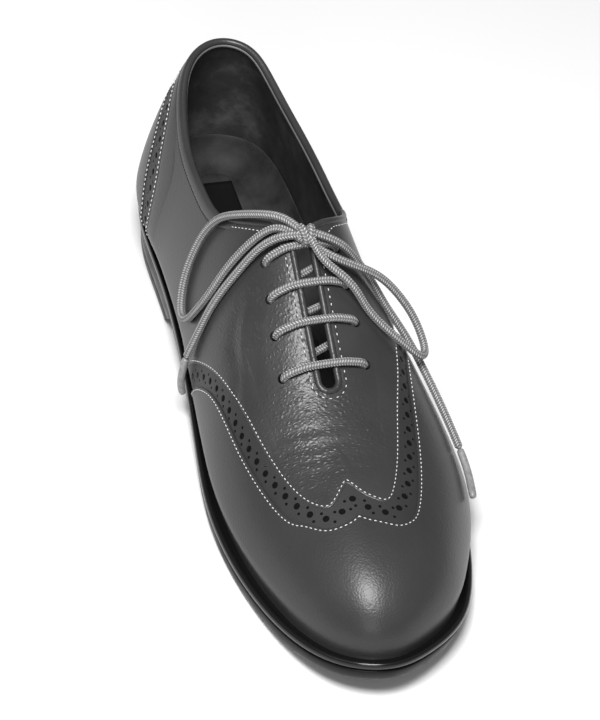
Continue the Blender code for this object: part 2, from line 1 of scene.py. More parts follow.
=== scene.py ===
"""Wing-tip lace-up shoe of grey leather for the right foot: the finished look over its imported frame.

Lengths in the tables are millimetres: x from the heel back to the toe, y towards the inner side of
the foot, z up from the floor.  MIDDLE is the frame's origin in those lengths, and MM makes metres.
"""

import bmesh
import bpy
import numpy as np
from mathutils import Matrix, Vector
from mathutils.kdtree import KDTree


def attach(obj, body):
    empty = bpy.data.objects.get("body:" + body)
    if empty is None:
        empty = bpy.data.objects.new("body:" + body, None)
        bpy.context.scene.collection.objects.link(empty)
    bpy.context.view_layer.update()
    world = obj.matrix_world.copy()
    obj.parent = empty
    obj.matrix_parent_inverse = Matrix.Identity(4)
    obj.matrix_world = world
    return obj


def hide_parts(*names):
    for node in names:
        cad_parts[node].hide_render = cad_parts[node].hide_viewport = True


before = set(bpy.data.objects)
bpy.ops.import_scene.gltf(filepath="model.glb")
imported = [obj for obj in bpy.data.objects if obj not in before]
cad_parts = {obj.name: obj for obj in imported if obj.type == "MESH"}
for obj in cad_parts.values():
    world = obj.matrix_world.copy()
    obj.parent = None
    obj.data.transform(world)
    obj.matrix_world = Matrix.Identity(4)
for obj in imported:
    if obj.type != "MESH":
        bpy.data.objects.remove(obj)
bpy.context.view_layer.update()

# Studio: plain white floor, a broad soft light overhead, weaker ones beside and in front, an even surround.
# The camera stands where the photograph's stood, turned and zoomed to frame the one shoe.
MM = 0.001
MIDDLE = np.array([130.54, 3.79, 0.0])
EYE = np.array([844.1, -265.8, 753.3])
VIEW_AHEAD = np.array([-0.661, 0.178, -0.728])
VIEW_RIGHT = np.array([0.217, 0.975, 0.041])
VIEW_UP = np.array([-0.718, 0.131, 0.684])
PHOTO_FOCUS = 2085.3
PHOTO_HEIGHT = 720
SENSOR = 36.0
SHOE_IN_PHOTO = (153.5, 106.5)
ZOOM = 1.42
SURROUND_STRENGTH = 0.25
FLOOR_SIZE = 12.0
FLOOR_TONE = 0.78
FLOOR_ROUGHNESS = 0.9
LIGHTS = (
    # name, place, size, watts
    ("overhead_light", (0.36, -0.23, 1.0), 0.36, 17.0),
    ("side_light", (0.1, -0.75, 0.75), 0.45, 0.7),
    ("front_light", (1.3, -0.5, 0.7), 0.7, 4.0),
)

ahead = VIEW_AHEAD * PHOTO_FOCUS + VIEW_RIGHT * SHOE_IN_PHOTO[0] + VIEW_UP * SHOE_IN_PHOTO[1]
ahead /= np.linalg.norm(ahead)
right = np.cross(ahead, VIEW_UP)
right /= np.linalg.norm(right)
lens = bpy.data.cameras.new("photo_camera")
lens.sensor_width = SENSOR
lens.lens = PHOTO_FOCUS * ZOOM * SENSOR / PHOTO_HEIGHT
camera = bpy.data.objects.new("photo_camera", lens)
turn = np.column_stack([right, np.cross(right, ahead), -ahead])
camera.matrix_world = Matrix.Translation(Vector((EYE - MIDDLE) * MM)) @ Matrix(turn.tolist()).to_4x4()
bpy.context.scene.collection.objects.link(camera)
bpy.context.scene.camera = camera

world = bpy.data.worlds.new("even_surround")
world.use_nodes = True
world.node_tree.nodes["Background"].inputs["Color"].default_value = (1, 1, 1, 1)
world.node_tree.nodes["Background"].inputs["Strength"].default_value = SURROUND_STRENGTH
bpy.context.scene.world = world
bpy.context.scene.view_settings.view_transform = "Standard"
for light_name, place, size, watts in LIGHTS:
    panel = bpy.data.lights.new(light_name, "AREA")
    panel.size = size
    panel.energy = watts
    lamp = bpy.data.objects.new(light_name, panel)
    lamp.location = place
    lamp.rotation_euler = (-Vector(place)).to_track_quat("-Z", "Y").to_euler()
    bpy.context.scene.collection.objects.link(lamp)

floor_mesh = bpy.data.meshes.new("studio_floor")
half = FLOOR_SIZE / 2
floor_corners = [(-half, -half, 0), (half, -half, 0), (half, half, 0), (-half, half, 0)]
floor_mesh.from_pydata(floor_corners, [], [(0, 1, 2, 3)])
floor_paint = bpy.data.materials.new("floor_paint")
floor_paint.use_nodes = True
paint = floor_paint.node_tree.nodes["Principled BSDF"]
paint.inputs["Base Color"].default_value = (FLOOR_TONE, FLOOR_TONE, FLOOR_TONE, 1)
paint.inputs["Roughness"].default_value = FLOOR_ROUGHNESS
floor_mesh.materials.append(floor_paint)
studio_floor = bpy.data.objects.new("studio_floor", floor_mesh)
bpy.context.scene.collection.objects.link(studio_floor)

# Outsole and heel: one moulded black rubber unit with a rounded side, an arched waist, a flat tread
# and toe spring; the heel block under the seat has a slanted breast and the seam of its top piece.
LENGTH = 263.0
GAP = 0.3
HEEL_SEAT = 18.3
FOREFOOT_STACK = 8.4
TOE_SPRING = 10.7
WAIST_LIFT = 11.6
WELT_HEIGHT = 2.6
HEEL_BREAST_FLOOR = 70.0
HEEL_BREAST_TOP = 82.0
TREAD_START = 178.0
TREAD_END = 195.0
EDGE_POINTS = 4001
SOLE_COLUMNS = 181
HEEL_COLUMNS = 61
HEEL_CROWDING = 1.7
HEEL_GAP = GAP / 3
SOLE_OUTLINE = (
    # x, y  round the inner side to the toe, back by the outer side
    (0, 0), (7, 17.5), (24, 24.5), (55, 26), (95, 28.5), (130, 36.5), (165, 45),
    (195, 47), (222, 41), (244, 30), (258, 13.5), (263, -1), (257.5, -16), (242, -27.5),
    (215, -36), (180, -40.5), (145, -38), (105, -34), (60, -32.5), (24, -30.5), (7, -19.5),
)
OUTSOLE_SIDE = (
    # share of the thickness from the tread up, inset from the outline
    (0.0, 2.6), (0.03, 1.9), (0.08, 1.35), (0.16, 0.95), (0.3, 0.7), (0.5, 0.55), (0.68, 0.6),
    (0.78, 0.75), (0.83, 1.0), (0.86, 1.45), (0.9, 1.6), (0.94, 1.45), (1.0, 1.3),
)
HEEL_SIDE = (
    # share of the height, inset from the outline
    (0.0, 3.0), (0.03, 2.4), (0.08, 2.0), (0.2, 1.8), (0.37, 1.7), (0.41, 1.85), (0.43, 2.3),
    (0.45, 1.85), (0.49, 1.6), (0.7, 1.4), (0.93, 1.25), (1.0, 1.5),
)


def spline(knots, rows, closed=False):
    """Smooth curve through rows at the given knots, as a function of the knot value."""
    knots = np.asarray(knots, float)
    rows = np.asarray(rows, float)
    step = np.diff(knots)
    count = len(knots)
    matrix = np.zeros((count, count))
    level = np.zeros(rows.shape)
    slope = np.diff(rows, axis=0) / step[:, None]
    for i in range(1, count - 1):
        matrix[i, i - 1:i + 2] = step[i - 1], 2 * (step[i - 1] + step[i]), step[i]
        level[i] = 6 * (slope[i] - slope[i - 1])
    matrix[0, 0] = matrix[-1, -1] = 1
    if closed:
        matrix[0, [0, 1, -2]] = 2 * (step[0] + step[-1]), step[0], step[-1]
        level[0] = 6 * (slope[0] - slope[-1])
        matrix[-1, 0] = -1
    bend = np.linalg.solve(matrix, level)

    def curve(value):
        value = np.clip(np.asarray(value, float), knots[0], knots[-1])
        i = np.clip(np.searchsorted(knots, value, side="right") - 1, 0, count - 2)
        width = step[i][..., None]
        left = (knots[i + 1] - value)[..., None]
        past = (value - knots[i])[..., None]
        lifted = (bend[i] * left**3 + bend[i + 1] * past**3) / (6 * width)
        return (lifted + (rows[i] / width - bend[i] * width / 6) * left
                + (rows[i + 1] / width - bend[i + 1] * width / 6) * past)

    return curve


def columns_of(rows):
    """Columns of a table as smooth functions of its first column."""
    rows = np.asarray(rows, float)
    return spline(rows[:, 0], rows[:, 1:])


def through(points, count, closed=False):
    """Evenly numbered points on a smooth curve through a few."""
    points = np.asarray(points, float)
    if closed:
        points = np.vstack([points, points[:1]])
    knots = np.concatenate([[0], np.cumsum(np.sqrt(np.linalg.norm(np.diff(points, axis=0), axis=1)))])
    return spline(knots, points, closed)(np.linspace(0, knots[-1], count))


EDGE = through(SOLE_OUTLINE, EDGE_POINTS, closed=True)[:-1]


def edge_sides(inset):
    """The sole's edge moved in by a width: the inner and the outer side, heel back to toe tip."""
    run = np.roll(EDGE, -1, axis=0) - np.roll(EDGE, 1, axis=0)
    inward = np.stack([run[:, 1], -run[:, 0]], axis=1)
    inward /= np.linalg.norm(inward, axis=1)[:, None]
    width = inset(EDGE[:, 0])[:, 0] if callable(inset) else inset
    line = EDGE + inward * np.reshape(width, (-1, 1))
    line = np.roll(line, -line[:, 0].argmin(), axis=0)
    tip = line[:, 0].argmax()
    return line[:tip + 1], np.vstack([line[tip:], line[:1]])[::-1]


def at_stations(lines, stations):
    """Points of the two side lines at cosine-spaced stations from the heel (0) to the toe (1)."""
    points = []
    for line in lines:
        reach = np.maximum.accumulate(line[:, 0])
        x = line[0, 0] + (line[-1, 0] - line[0, 0]) * (1 - np.cos(np.pi * stations)) / 2
        points.append(np.stack([x, np.interp(x, reach, line[:, 1])], axis=-1))
    return points


def tread_height(x):
    """Underside of the outsole: waist lift behind the tread and toe spring in front of it."""
    lift = np.clip((TREAD_START - x) / (TREAD_START - HEEL_BREAST_FLOOR), 0, 1)
    spring = np.clip((x - TREAD_END) / (LENGTH - TREAD_END), 0, 1) ** 2
    return WAIST_LIFT * lift**2 * (3 - 2 * lift) + TOE_SPRING * spring


def welt_top(x):
    """Level where the upper comes out of the welt."""
    rise = np.clip((TREAD_START - x) / (TREAD_START - HEEL_BREAST_FLOOR), 0, 1)
    spring = np.clip((x - TREAD_END) / (LENGTH - TREAD_END), 0, 1) ** 2
    seat = (HEEL_SEAT - FOREFOOT_STACK) * rise**2 * (3 - 2 * rise)
    return FOREFOOT_STACK + seat + TOE_SPRING * spring


def with_height(lines, height):
    """Side lines with their heights, from a function of x."""
    return [np.column_stack([line, height(line[:, 0])]) for line in lines]


def mesh_piece(name, grids, finish, inside=None):
    """A piece from grids of points: (grid, closed along, closed across).

    A piece that isn't closed faces away from the point called inside.
    """
    points, faces = [], []
    for grid, loop_rows, loop_columns in grids:
        rows, columns = grid.shape[:2]
        number = len(points) + np.arange(rows * columns).reshape(rows, columns)
        points.extend(((grid - MIDDLE) * MM).reshape(-1, 3).tolist())
        below = number if loop_rows else number[:-1]
        above = np.roll(number, -1, axis=0) if loop_rows else number[1:]
        if loop_columns:
            corners = below, np.roll(below, -1, axis=1), np.roll(above, -1, axis=1), above
        else:
            corners = below[:, :-1], below[:, 1:], above[:, 1:], above[:, :-1]
        faces.extend(np.stack(corners, axis=-1).reshape(-1, 4).tolist())
    mesh = bpy.data.meshes.new(name)
    mesh.from_pydata(points, [], faces)
    bm = bmesh.new()
    bm.from_mesh(mesh)
    bmesh.ops.remove_doubles(bm, verts=bm.verts, dist=1e-6)
    bmesh.ops.dissolve_degenerate(bm, edges=bm.edges, dist=1e-7)
    bmesh.ops.recalc_face_normals(bm, faces=bm.faces)
    if inside is not None:
        core = Vector((np.asarray(inside, float) - MIDDLE) * MM)
        if sum(f.normal.dot(f.calc_center_median() - core) * f.calc_area() for f in bm.faces) < 0:
            bmesh.ops.reverse_faces(bm, faces=bm.faces)
    bm.to_mesh(mesh)
    bm.free()
    mesh.shade_smooth()
    mesh.materials.append(finish)
    piece = bpy.data.objects.new(name, mesh)
    bpy.context.scene.collection.objects.link(piece)
    return piece


def stacked(name, levels, finish):
    """A solid from pairs of side lines, one pair for each level, closed across its top and bottom."""
    rings = np.array([np.vstack([inner, outer[::-1]]) for inner, outer in levels])
    floor = np.stack([levels[0][0], levels[0][1]])
    roof = np.stack([levels[-1][0], levels[-1][1]])
    return mesh_piece(name, [(rings, False, True), (floor, False, False), (roof, False, False)], finish)


def plain_finish(name, colour, roughness):
    """A Principled finish to build on: its node tree, shader and the object's own coordinates."""
    finish = bpy.data.materials.new(name)
    finish.use_nodes = True
    nodes = finish.node_tree.nodes
    shader = nodes["Principled BSDF"]
    shader.inputs["Base Color"].default_value = (*colour, 1)
    shader.inputs["Roughness"].default_value = roughness
    place = nodes.new("ShaderNodeTexCoord")
    return finish, nodes, finish.node_tree.links, shader, place.outputs["Object"]


def add_noise(nodes, links, place, scale, detail=3.0, roughness=0.55):
    """Noise at a scale in cells a metre."""
    noise = nodes.new("ShaderNodeTexNoise")
    noise.inputs["Scale"].default_value = scale
    noise.inputs["Detail"].default_value = detail
    noise.inputs["Roughness"].default_value = roughness
    links.new(place, noise.inputs["Vector"])
    return noise.outputs["Fac"]


def add_ramp(nodes, links, value, stops):
    """Greys along a value: stops holds (place, grey)."""
    ramp = nodes.new("ShaderNodeValToRGB")
    band = ramp.color_ramp
    while len(band.elements) < len(stops):
        band.elements.new(0.5)
    for element, (at, grey) in zip(band.elements, stops):
        element.position = at
        element.color = (grey, grey, grey, 1)
    links.new(value, ramp.inputs["Fac"])
    return ramp.outputs["Color"]


def add_bump(nodes, links, height, shader, distance, strength=1.0, before=None):
    """Bump of a depth in metres on a shader, after an earlier one if given."""
    bump = nodes.new("ShaderNodeBump")
    bump.inputs["Distance"].default_value = distance
    bump.inputs["Strength"].default_value = strength
    links.new(height, bump.inputs["Height"])
    if before is not None:
        links.new(before, bump.inputs["Normal"])
    links.new(bump.outputs["Normal"], shader.inputs["Normal"])
    return bump.outputs["Normal"]


sole_rubber, nodes, links, shader, place = plain_finish("sole_rubber", (0.006, 0.006, 0.006), 0.22)
scuffs = add_noise(nodes, links, place, 90.0)
links.new(add_ramp(nodes, links, scuffs, ((0.35, 0.34), (0.7, 0.5))), shader.inputs["Roughness"])
shader.inputs["Specular IOR Level"].default_value = 0.2
pores = add_noise(nodes, links, place, 900.0)
add_bump(nodes, links, pores, shader, 0.00008, 0.35)

sole_stations = np.linspace(0, 1, SOLE_COLUMNS)
levels = []
for share, inset in OUTSOLE_SIDE:
    lines = at_stations(edge_sides(inset), sole_stations)
    level = lambda x: tread_height(x) + share * (welt_top(x) - WELT_HEIGHT - tread_height(x))
    levels.append(with_height(lines, level))
outsole = stacked("rubber_outsole", levels, sole_rubber)
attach(outsole, "root")
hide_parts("outsole")

levels = []
for share, inset in HEEL_SIDE:
    breast = HEEL_BREAST_FLOOR + (HEEL_BREAST_TOP - HEEL_BREAST_FLOOR) * share
    along = np.linspace(0, 1, HEEL_COLUMNS) ** HEEL_CROWDING
    lines = []
    for line in edge_sides(inset):
        x = line[0, 0] + (breast - line[0, 0]) * along
        y = np.interp(x, np.maximum.accumulate(line[:, 0]), line[:, 1])
        z = np.minimum(share * (WAIST_LIFT - HEEL_GAP), tread_height(x) - HEEL_GAP)
        lines.append(np.column_stack([x, y, z]))
    levels.append(lines)
heel = stacked("heel_block", levels, sole_rubber)
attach(heel, "root")
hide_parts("heel")

# Welt: a moulded rubber strip round the whole shoe between upper and outsole, with a raised round
# bead at its outer edge that catches the light and a gutter where the upper comes out of it.
WELT_WIDTH = (
    # x, from the sole's edge to the upper
    (0, 2.2), (60, 2.3), (100, 2.9), (140, 4.0), (180, 4.8), (263, 4.8),
)
WELT_PROFILE = (
    # share of the width from the outer edge, share of the height
    (0.16, -0.02), (0.05, 0.1), (0.0, 0.3), (0.0, 0.62), (0.02, 0.82), (0.07, 1.02), (0.15, 1.16),
    (0.26, 1.22), (0.37, 1.17), (0.46, 1.03), (0.52, 0.9), (0.6, 0.84), (0.8, 0.86), (1.12, 0.9),
    (1.12, -0.02),
)
welt_rubber, nodes, links, shader, place = plain_finish("welt_rubber", (0.005, 0.005, 0.005), 0.2)
shader.inputs["Specular IOR Level"].default_value = 0.35
add_bump(nodes, links, add_noise(nodes, links, place, 700.0), shader, 0.00006, 0.3)
welt_width = columns_of(WELT_WIDTH)
grid = []
for share, rise in WELT_PROFILE:
    sides = at_stations(edge_sides(lambda x: share * welt_width(x)), sole_stations)
    inner, outer = with_height(sides, lambda x: welt_top(x) + (rise - 1) * (WELT_HEIGHT - GAP))
    grid.append(np.vstack([inner, outer[-2:0:-1]]))
welt = mesh_piece("welt_strip", [(np.array(grid), True, True)], welt_rubber)
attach(welt, "root")
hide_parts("welt")

# Insole: a board with a dark leather sock glued on it, a little wavy where the heel has pressed it.
# A bare darker patch of the same leather lies on the sock at the heel seat.
WALL = 2.0
INSOLE = 2.5
INSOLE_CLEAR = 0.4
INSOLE_SIDE = (
    # share of the thickness, inset from the edge
    (0.0, 0.8), (0.5, 0.0), (0.85, 0.2), (1.0, 0.8),
)
PATCH_X = (18.0, 52.0)
PATCH_Y = (-5.5, 7.5)
PATCH_COLUMNS = 19
PATCH_ROWS = 13
PATCH_LIFT = 0.05
PATCH_THICK = 0.35
UNDER_PATCH = (55, 0, 0)
sock_leather, nodes, links, shader, place = plain_finish("sock_leather", (0.02, 0.02, 0.02), 0.62)
wear = add_noise(nodes, links, place, 55.0, 5.0)
links.new(add_ramp(nodes, links, wear, ((0.3, 0.014), (0.72, 0.05))), shader.inputs["Base Color"])
shader.inputs["Specular IOR Level"].default_value = 0.15
grain = add_noise(nodes, links, place, 1400.0)
ripples = add_noise(nodes, links, place, 160.0)
first = add_bump(nodes, links, ripples, shader, 0.0006, 0.5)
add_bump(nodes, links, grain, shader, 0.00012, 0.5, first)
levels = []
for share, inset in INSOLE_SIDE:
    lines = at_stations(edge_sides(lambda x: welt_width(x) + WALL + INSOLE_CLEAR + inset), sole_stations)
    levels.append(with_height(lines, lambda x: welt_top(x) - WELT_HEIGHT + GAP + share * INSOLE))
sock = stacked("insole_sock", levels, sock_leather)
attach(sock, "root")
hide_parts("insole")

patch_leather, nodes, links, shader, place = plain_finish("patch_leather", (0.006, 0.006, 0.006), 0.5)
shader.inputs["Specular IOR Level"].default_value = 0.1
add_bump(nodes, links, add_noise(nodes, links, place, 1200.0), shader, 0.0001, 0.4)
patch_x = np.linspace(*PATCH_X, PATCH_COLUMNS)
patch_y = np.linspace(*PATCH_Y, PATCH_ROWS)
patch_low = welt_top(patch_x) - WELT_HEIGHT + GAP + INSOLE
grid = [[(x, y, low + PATCH_LIFT) for y in patch_y] for x, low in zip(patch_x, patch_low)]
patch = mesh_piece("sock_patch", [(np.array(grid), False, False)], patch_leather, inside=UNDER_PATCH)
pad = patch.modifiers.new("patch_thickness", "SOLIDIFY")
pad.thickness = PATCH_THICK * MM
pad.offset = 1.0
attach(patch, "root")

# Upper: vamp and quarters of one soft grey hide, lasted over a foot form and cemented into the welt,
# cut open at the collar and down the lacing slit.  The front of the vamp is tumbled and creased.
LAST_TOP = (
    # x, y, z  crest of the last, from the cone over the heel down to the toe
    (23, 0.5, 101), (60, 0.3, 101), (90, 0, 97.5), (105, 0, 92), (118, 0, 85), (135, 0, 75.3),
    (150, 0, 66.5), (165, 0.3, 58), (180, 0.9, 51.2), (200, 2.0, 45.6), (220, 2.5, 42.3),
    (238, 2.0, 38.4), (250, 0.5, 32.4), (256, -0.7, 25.4),
)
LAST_SECTION = (
    # x from the upper's back, fullness inner, fullness outer, swell inner, swell outer
    (0, 1.9, 1.9, 3.0, 3.0), (22, 1.8, 1.5, 3.0, 4.0), (48, 2.1, 1.42, 3.0, 4.6),
    (72, 2.6, 1.46, 3.4, 4.6), (96, 2.5, 1.6, 4.4, 4.0), (135, 2.25, 1.95, 6.4, 3.2),
    (168, 2.2, 2.1, 7.2, 3.0), (198, 2.2, 2.2, 5.2, 2.7), (228, 2.25, 2.25, 2.2, 1.8),
    (260, 2.3, 2.3, 0.1, 0.5),
)
COLLAR = (
    # x from the upper's back, z inner, z outer  height of the top line
    (0, 81, 81), (8, 79.5, 79), (21, 75.5, 74.0), (47, 71.5, 67.0), (72, 69.0, 66.5),
    (95, 70.5, 72.0), (105, 75.5, 78.5), (111, 80.5, 82.0), (116, 84.5, 84.5),
)
LAST_CONE = 23.0
LEAN_END = 70.0
LEAN_SHAPE = 1.5
SWELL_START = 9.0
SWELL_SHAPE = 0.45
SWELL_FADE = 12.0
SLIT_HALF = 3.6
SLIT_END = 171.0
FACING_CORNER = 118.0
CORNER_ROUND = 5.0
SKIN_LIFT = 0.35
SKIN_THICK = 1.1
SKIN_BACK = 24.0
SKIN_BACK_COLUMNS = 16
SKIN_SPANS = (
    # x at the start, x at the end, columns
    (27, 99, 25), (100.5, 124.5, 25), (127, 160, 14), (161.5, 170.4, 13),
)
SLIT_END_REACH = 0.5
SLIT_END_COLUMNS = 4
SKIN_VAMP = 173.5
SKIN_FRONT = 232.0
SKIN_VAMP_COLUMNS = 40
SKIN_ROWS = 30
SKIN_CROWDING = 1.1
CREST_POINTS = 1201
UPPER_CORE = (110, 0, 25)
CREASE_STRENGTH = 0.7
CREASE_STRENGTH_FAR = 0.03
CREASE_SCALE = 900.0
CREASE_DETAIL = 1.5
CREASE_DISTORTION = 0.35
CREASE_BUMP = 0.0004
CREASE_RIDGE = 0.6
CREASE_RIDGE_ASIDE = 1.7
CREASED = (
    # centre of the creased place, reach of full and of fading creases, stretch, turn
    ((183.0, -8.0, 50.0), (14.0, 38.0), (1.0, 0.6, 1.0), 0.45),
    ((142.0, -20.0, 66.0), (8.0, 32.0), (0.55, 1.0, 1.0), 0.3),
)
CREASES = (
    # x, y of one end, x, y of the other end, bow, depth, width
    (178.5, -24, 183, 3, 1.5, 0.2, 1.6), (184, -27, 189.5, 10, 2.0, 0.26, 1.9),
    (190, -22, 195, 14, 1.6, 0.22, 1.7), (195.5, -18, 199.5, 11, 1.2, 0.18, 1.6),
    (179, 8, 186, 23, 1.5, 0.18, 1.6), (128, -20, 152, -26, 2.5, 0.6, 1.4),
    (134, -16.5, 160, -21, 2.0, 0.45, 1.3), (150, -25, 172, -31, 2.0, 0.5, 1.5),
)
RISES = np.linspace(0, 1, 401)
last_section = columns_of(LAST_SECTION)
collar_height = columns_of(COLLAR)
FEATHER = edge_sides(lambda x: welt_width(x) + GAP)
FEATHER_HEEL = FEATHER[0][0, 0]
FEATHER_TOE = FEATHER[0][-1]
TOE_FOOT = welt_top(FEATHER_TOE[0]) - WELT_HEIGHT + GAP
CREST = through(LAST_TOP + ((*FEATHER_TOE, TOE_FOOT),), CREST_POINTS)


def station(x):
    """Station of a place along the upper's lower edge."""
    share = (np.asarray(x, float) - FEATHER_HEEL) / (FEATHER_TOE[0] - FEATHER_HEEL)
    return np.arccos(1 - 2 * np.clip(share, 0, 1)) / np.pi


def last_point(side, stations, rise):
    """Point of the upper's outer face; rise runs from the welt (0) to the crest (1)."""
    stations, rise = np.broadcast_arrays(np.asarray(stations, float), np.asarray(rise, float))
    foot = at_stations(FEATHER, stations)[0 if side > 0 else 1]
    foot_x, foot_y = foot[..., 0], foot[..., 1]
    foot_z = welt_top(foot_x) - WELT_HEIGHT + GAP
    lean = (1 - np.clip(foot_x / LEAN_END, 0, 1)) ** LEAN_SHAPE
    crest_x = foot_x + (LAST_CONE - FEATHER_HEEL) * lean
    crest_y = np.interp(crest_x, CREST[:, 0], CREST[:, 1])
    crest_z = np.interp(crest_x, CREST[:, 0], CREST[:, 2])
    section = last_section(foot_x - FEATHER_HEEL)
    inner_fullness, outer_fullness, inner_swell, outer_swell = np.moveaxis(section, -1, 0)
    fullness = inner_fullness if side > 0 else outer_fullness
    swell = inner_swell if side > 0 else outer_swell
    angle = np.pi / 2 * rise
    spread = np.clip(np.cos(angle), 0, 1) ** (2 / fullness)
    height = np.clip(np.sin(angle), 0, 1) ** (2 / fullness)
    span_x, span_y = foot_x - crest_x, foot_y - crest_y
    span = np.hypot(span_x, span_y) + 1e-9
    above_foot = (crest_z - foot_z) * height
    clear = np.clip((above_foot - WELT_HEIGHT) / SWELL_START, 0, 1)
    ease = clear**2 * (3 - 2 * clear) * np.clip(span / SWELL_FADE, 0, 1)
    out = spread + swell * ease * np.sin(np.pi * height**SWELL_SHAPE) / span
    return np.stack([crest_x + span_x * out, crest_y + span_y * out, foot_z + above_foot], axis=-1)


def outward(side, where, rise):
    """Direction straight out of the leather."""
    small = 1e-3
    low, high = np.clip(rise - small, 0, 1), np.clip(rise + small, 0, 1)
    back, front = np.clip(where - small, 0, 1), np.clip(where + small, 0, 1)
    along = last_point(side, front, rise) - last_point(side, back, rise)
    up = last_point(side, where, high) - last_point(side, where, low)
    normal = np.cross(along, up) * -side
    return normal / (np.linalg.norm(normal, axis=-1, keepdims=True) + 1e-12)


def rise_at_height(side, where, height):
    """Rise at which a station's section reaches a height."""
    return np.interp(height, last_point(side, where, RISES)[:, 2], RISES)


def rise_at_slit(side, where, half_width):
    """Rise at which a station's section comes within half the slit's width of its middle."""
    return np.interp(-half_width, -np.abs(last_point(side, where, RISES)[:, 1]), RISES)


def top_rise(side, x, back_from_edge=0.0):
    """Rise of the upper's top edge, or of a line some way back from it, round collar and slit."""
    where = float(station(x))
    slit_half, slit_end = SLIT_HALF + back_from_edge, SLIT_END + back_from_edge
    if x >= slit_end:
        return 1.0
    closing = np.sqrt(1 - (1 - np.clip((slit_end - x) / slit_half, 0, 1)) ** 2)
    corner_x = FACING_CORNER + back_from_edge
    corner = 1 - np.sqrt(1 - np.clip((corner_x + CORNER_ROUND - x) / CORNER_ROUND, 0, 1) ** 2)
    slit = float(rise_at_slit(side, where, slit_half * closing + CORNER_ROUND * corner))
    top = collar_height(x - FEATHER_HEEL)[0 if side > 0 else 1] - back_from_edge
    collar = float(rise_at_height(side, where, top))
    if x > corner_x:
        return slit
    return min(slit, collar) if x > corner_x - CORNER_ROUND else collar


def points_of(piece):
    """A piece's points in metres and the directions out of its surface there."""
    spots, normals = np.empty((2, len(piece.data.vertices) * 3), np.float32)
    piece.data.vertices.foreach_get("co", spots)
    piece.data.vertex_normals.foreach_get("vector", normals)
    return spots.reshape(-1, 3), normals.reshape(-1, 3)


def move_points(piece, spots):
    """Put a piece's points at new places in metres."""
    piece.data.vertices.foreach_set("co", spots.astype(np.float32).ravel())
    piece.data.update()


def lifted(piece, lift):
    """Move an open surface out along its normals, by a distance or one for each point."""
    spots, normals = points_of(piece)
    move_points(piece, spots + normals * np.reshape(np.asarray(lift) * MM, (-1, 1)))


def applied(piece):
    """Turn a piece's modifiers into plain mesh."""
    graph = bpy.context.evaluated_depsgraph_get()
    mesh = bpy.data.meshes.new_from_object(piece.evaluated_get(graph))
    piece.modifiers.clear()
    piece.data = mesh
    return piece


def add_wall(piece, thickness, rounding=0):
    """Give an open surface its thickness inwards, and round its edges by subdivision."""
    wall = piece.modifiers.new("wall", "SOLIDIFY")
    wall.thickness = thickness * MM
    wall.offset = -1.0
    wall.use_even_offset = True
    wall.use_quality_normals = True
    if rounding:
        smooth = piece.modifiers.new("rounding", "SUBSURF")
        smooth.levels = smooth.render_levels = rounding
    return applied(piece)


hide_leather, nodes, links, shader, place = plain_finish("hide_leather", (0.03, 0.03, 0.03), 0.42)
tone = add_noise(nodes, links, place, 38.0, 4.0)
links.new(add_ramp(nodes, links, tone, ((0.25, 0.024), (0.75, 0.036))), shader.inputs["Base Color"])
links.new(add_ramp(nodes, links, tone, ((0.2, 0.3), (0.8, 0.38))), shader.inputs["Roughness"])
shader.inputs["Specular IOR Level"].default_value = 0.34
pebble = nodes.new("ShaderNodeTexVoronoi")
pebble.feature = "SMOOTH_F1"
pebble.inputs["Scale"].default_value = 1100.0
links.new(place, pebble.inputs["Vector"])
grain = add_bump(nodes, links, pebble.outputs["Distance"], shader, 0.0002, 0.22)
for centre, reach, stretch, turned in CREASED:
    gap = nodes.new("ShaderNodeVectorMath")
    gap.operation = "DISTANCE"
    gap.inputs[1].default_value = (np.array(centre) - MIDDLE) * MM
    links.new(place, gap.inputs[0])
    fade = nodes.new("ShaderNodeMapRange")
    fade.interpolation_type = "SMOOTHSTEP"
    fade.inputs["From Min"].default_value = reach[0] * MM
    fade.inputs["From Max"].default_value = reach[1] * MM
    fade.inputs["To Min"].default_value = CREASE_STRENGTH
    fade.inputs["To Max"].default_value = CREASE_STRENGTH_FAR
    links.new(gap.outputs["Value"], fade.inputs["Value"])
    lay = nodes.new("ShaderNodeMapping")
    lay.inputs["Rotation"].default_value = (0, 0, turned)
    lay.inputs["Scale"].default_value = stretch
    links.new(place, lay.inputs["Vector"])
    folds = nodes.new("ShaderNodeTexNoise")
    folds.noise_type = "RIDGED_MULTIFRACTAL"
    folds.inputs["Scale"].default_value = CREASE_SCALE
    folds.inputs["Detail"].default_value = CREASE_DETAIL
    folds.inputs["Distortion"].default_value = CREASE_DISTORTION
    links.new(lay.outputs["Vector"], folds.inputs["Vector"])
    grain = add_bump(nodes, links, folds.outputs["Fac"], shader, CREASE_BUMP, 1.0, grain)
    links.new(fade.outputs["Result"], grain.node.inputs["Strength"])

skin_x = np.concatenate([
    FEATHER_HEEL + (SKIN_BACK - FEATHER_HEEL) * np.linspace(0, 1, SKIN_BACK_COLUMNS) ** 2,
    *(np.linspace(*span) for span in SKIN_SPANS),
    SLIT_END - SLIT_END_REACH * np.linspace(1, 0, SLIT_END_COLUMNS)[1:] ** 2,
    np.linspace(SKIN_VAMP, SKIN_FRONT, SKIN_VAMP_COLUMNS),
])
skin_where = station(skin_x)


def skin_sides(back_from_edge=0.0):
    """Grids of the two sides from the welt to the top edge, or to some way back from it."""
    sides = []
    for side in (1, -1):
        grid = []
        for where, x in zip(skin_where, skin_x):
            top = top_rise(side, x, back_from_edge)
            rises = top * np.linspace(0, 1, SKIN_ROWS) ** SKIN_CROWDING
            grid.append(last_point(side, where, rises))
        sides.append((np.array(grid), False, False))
    return sides


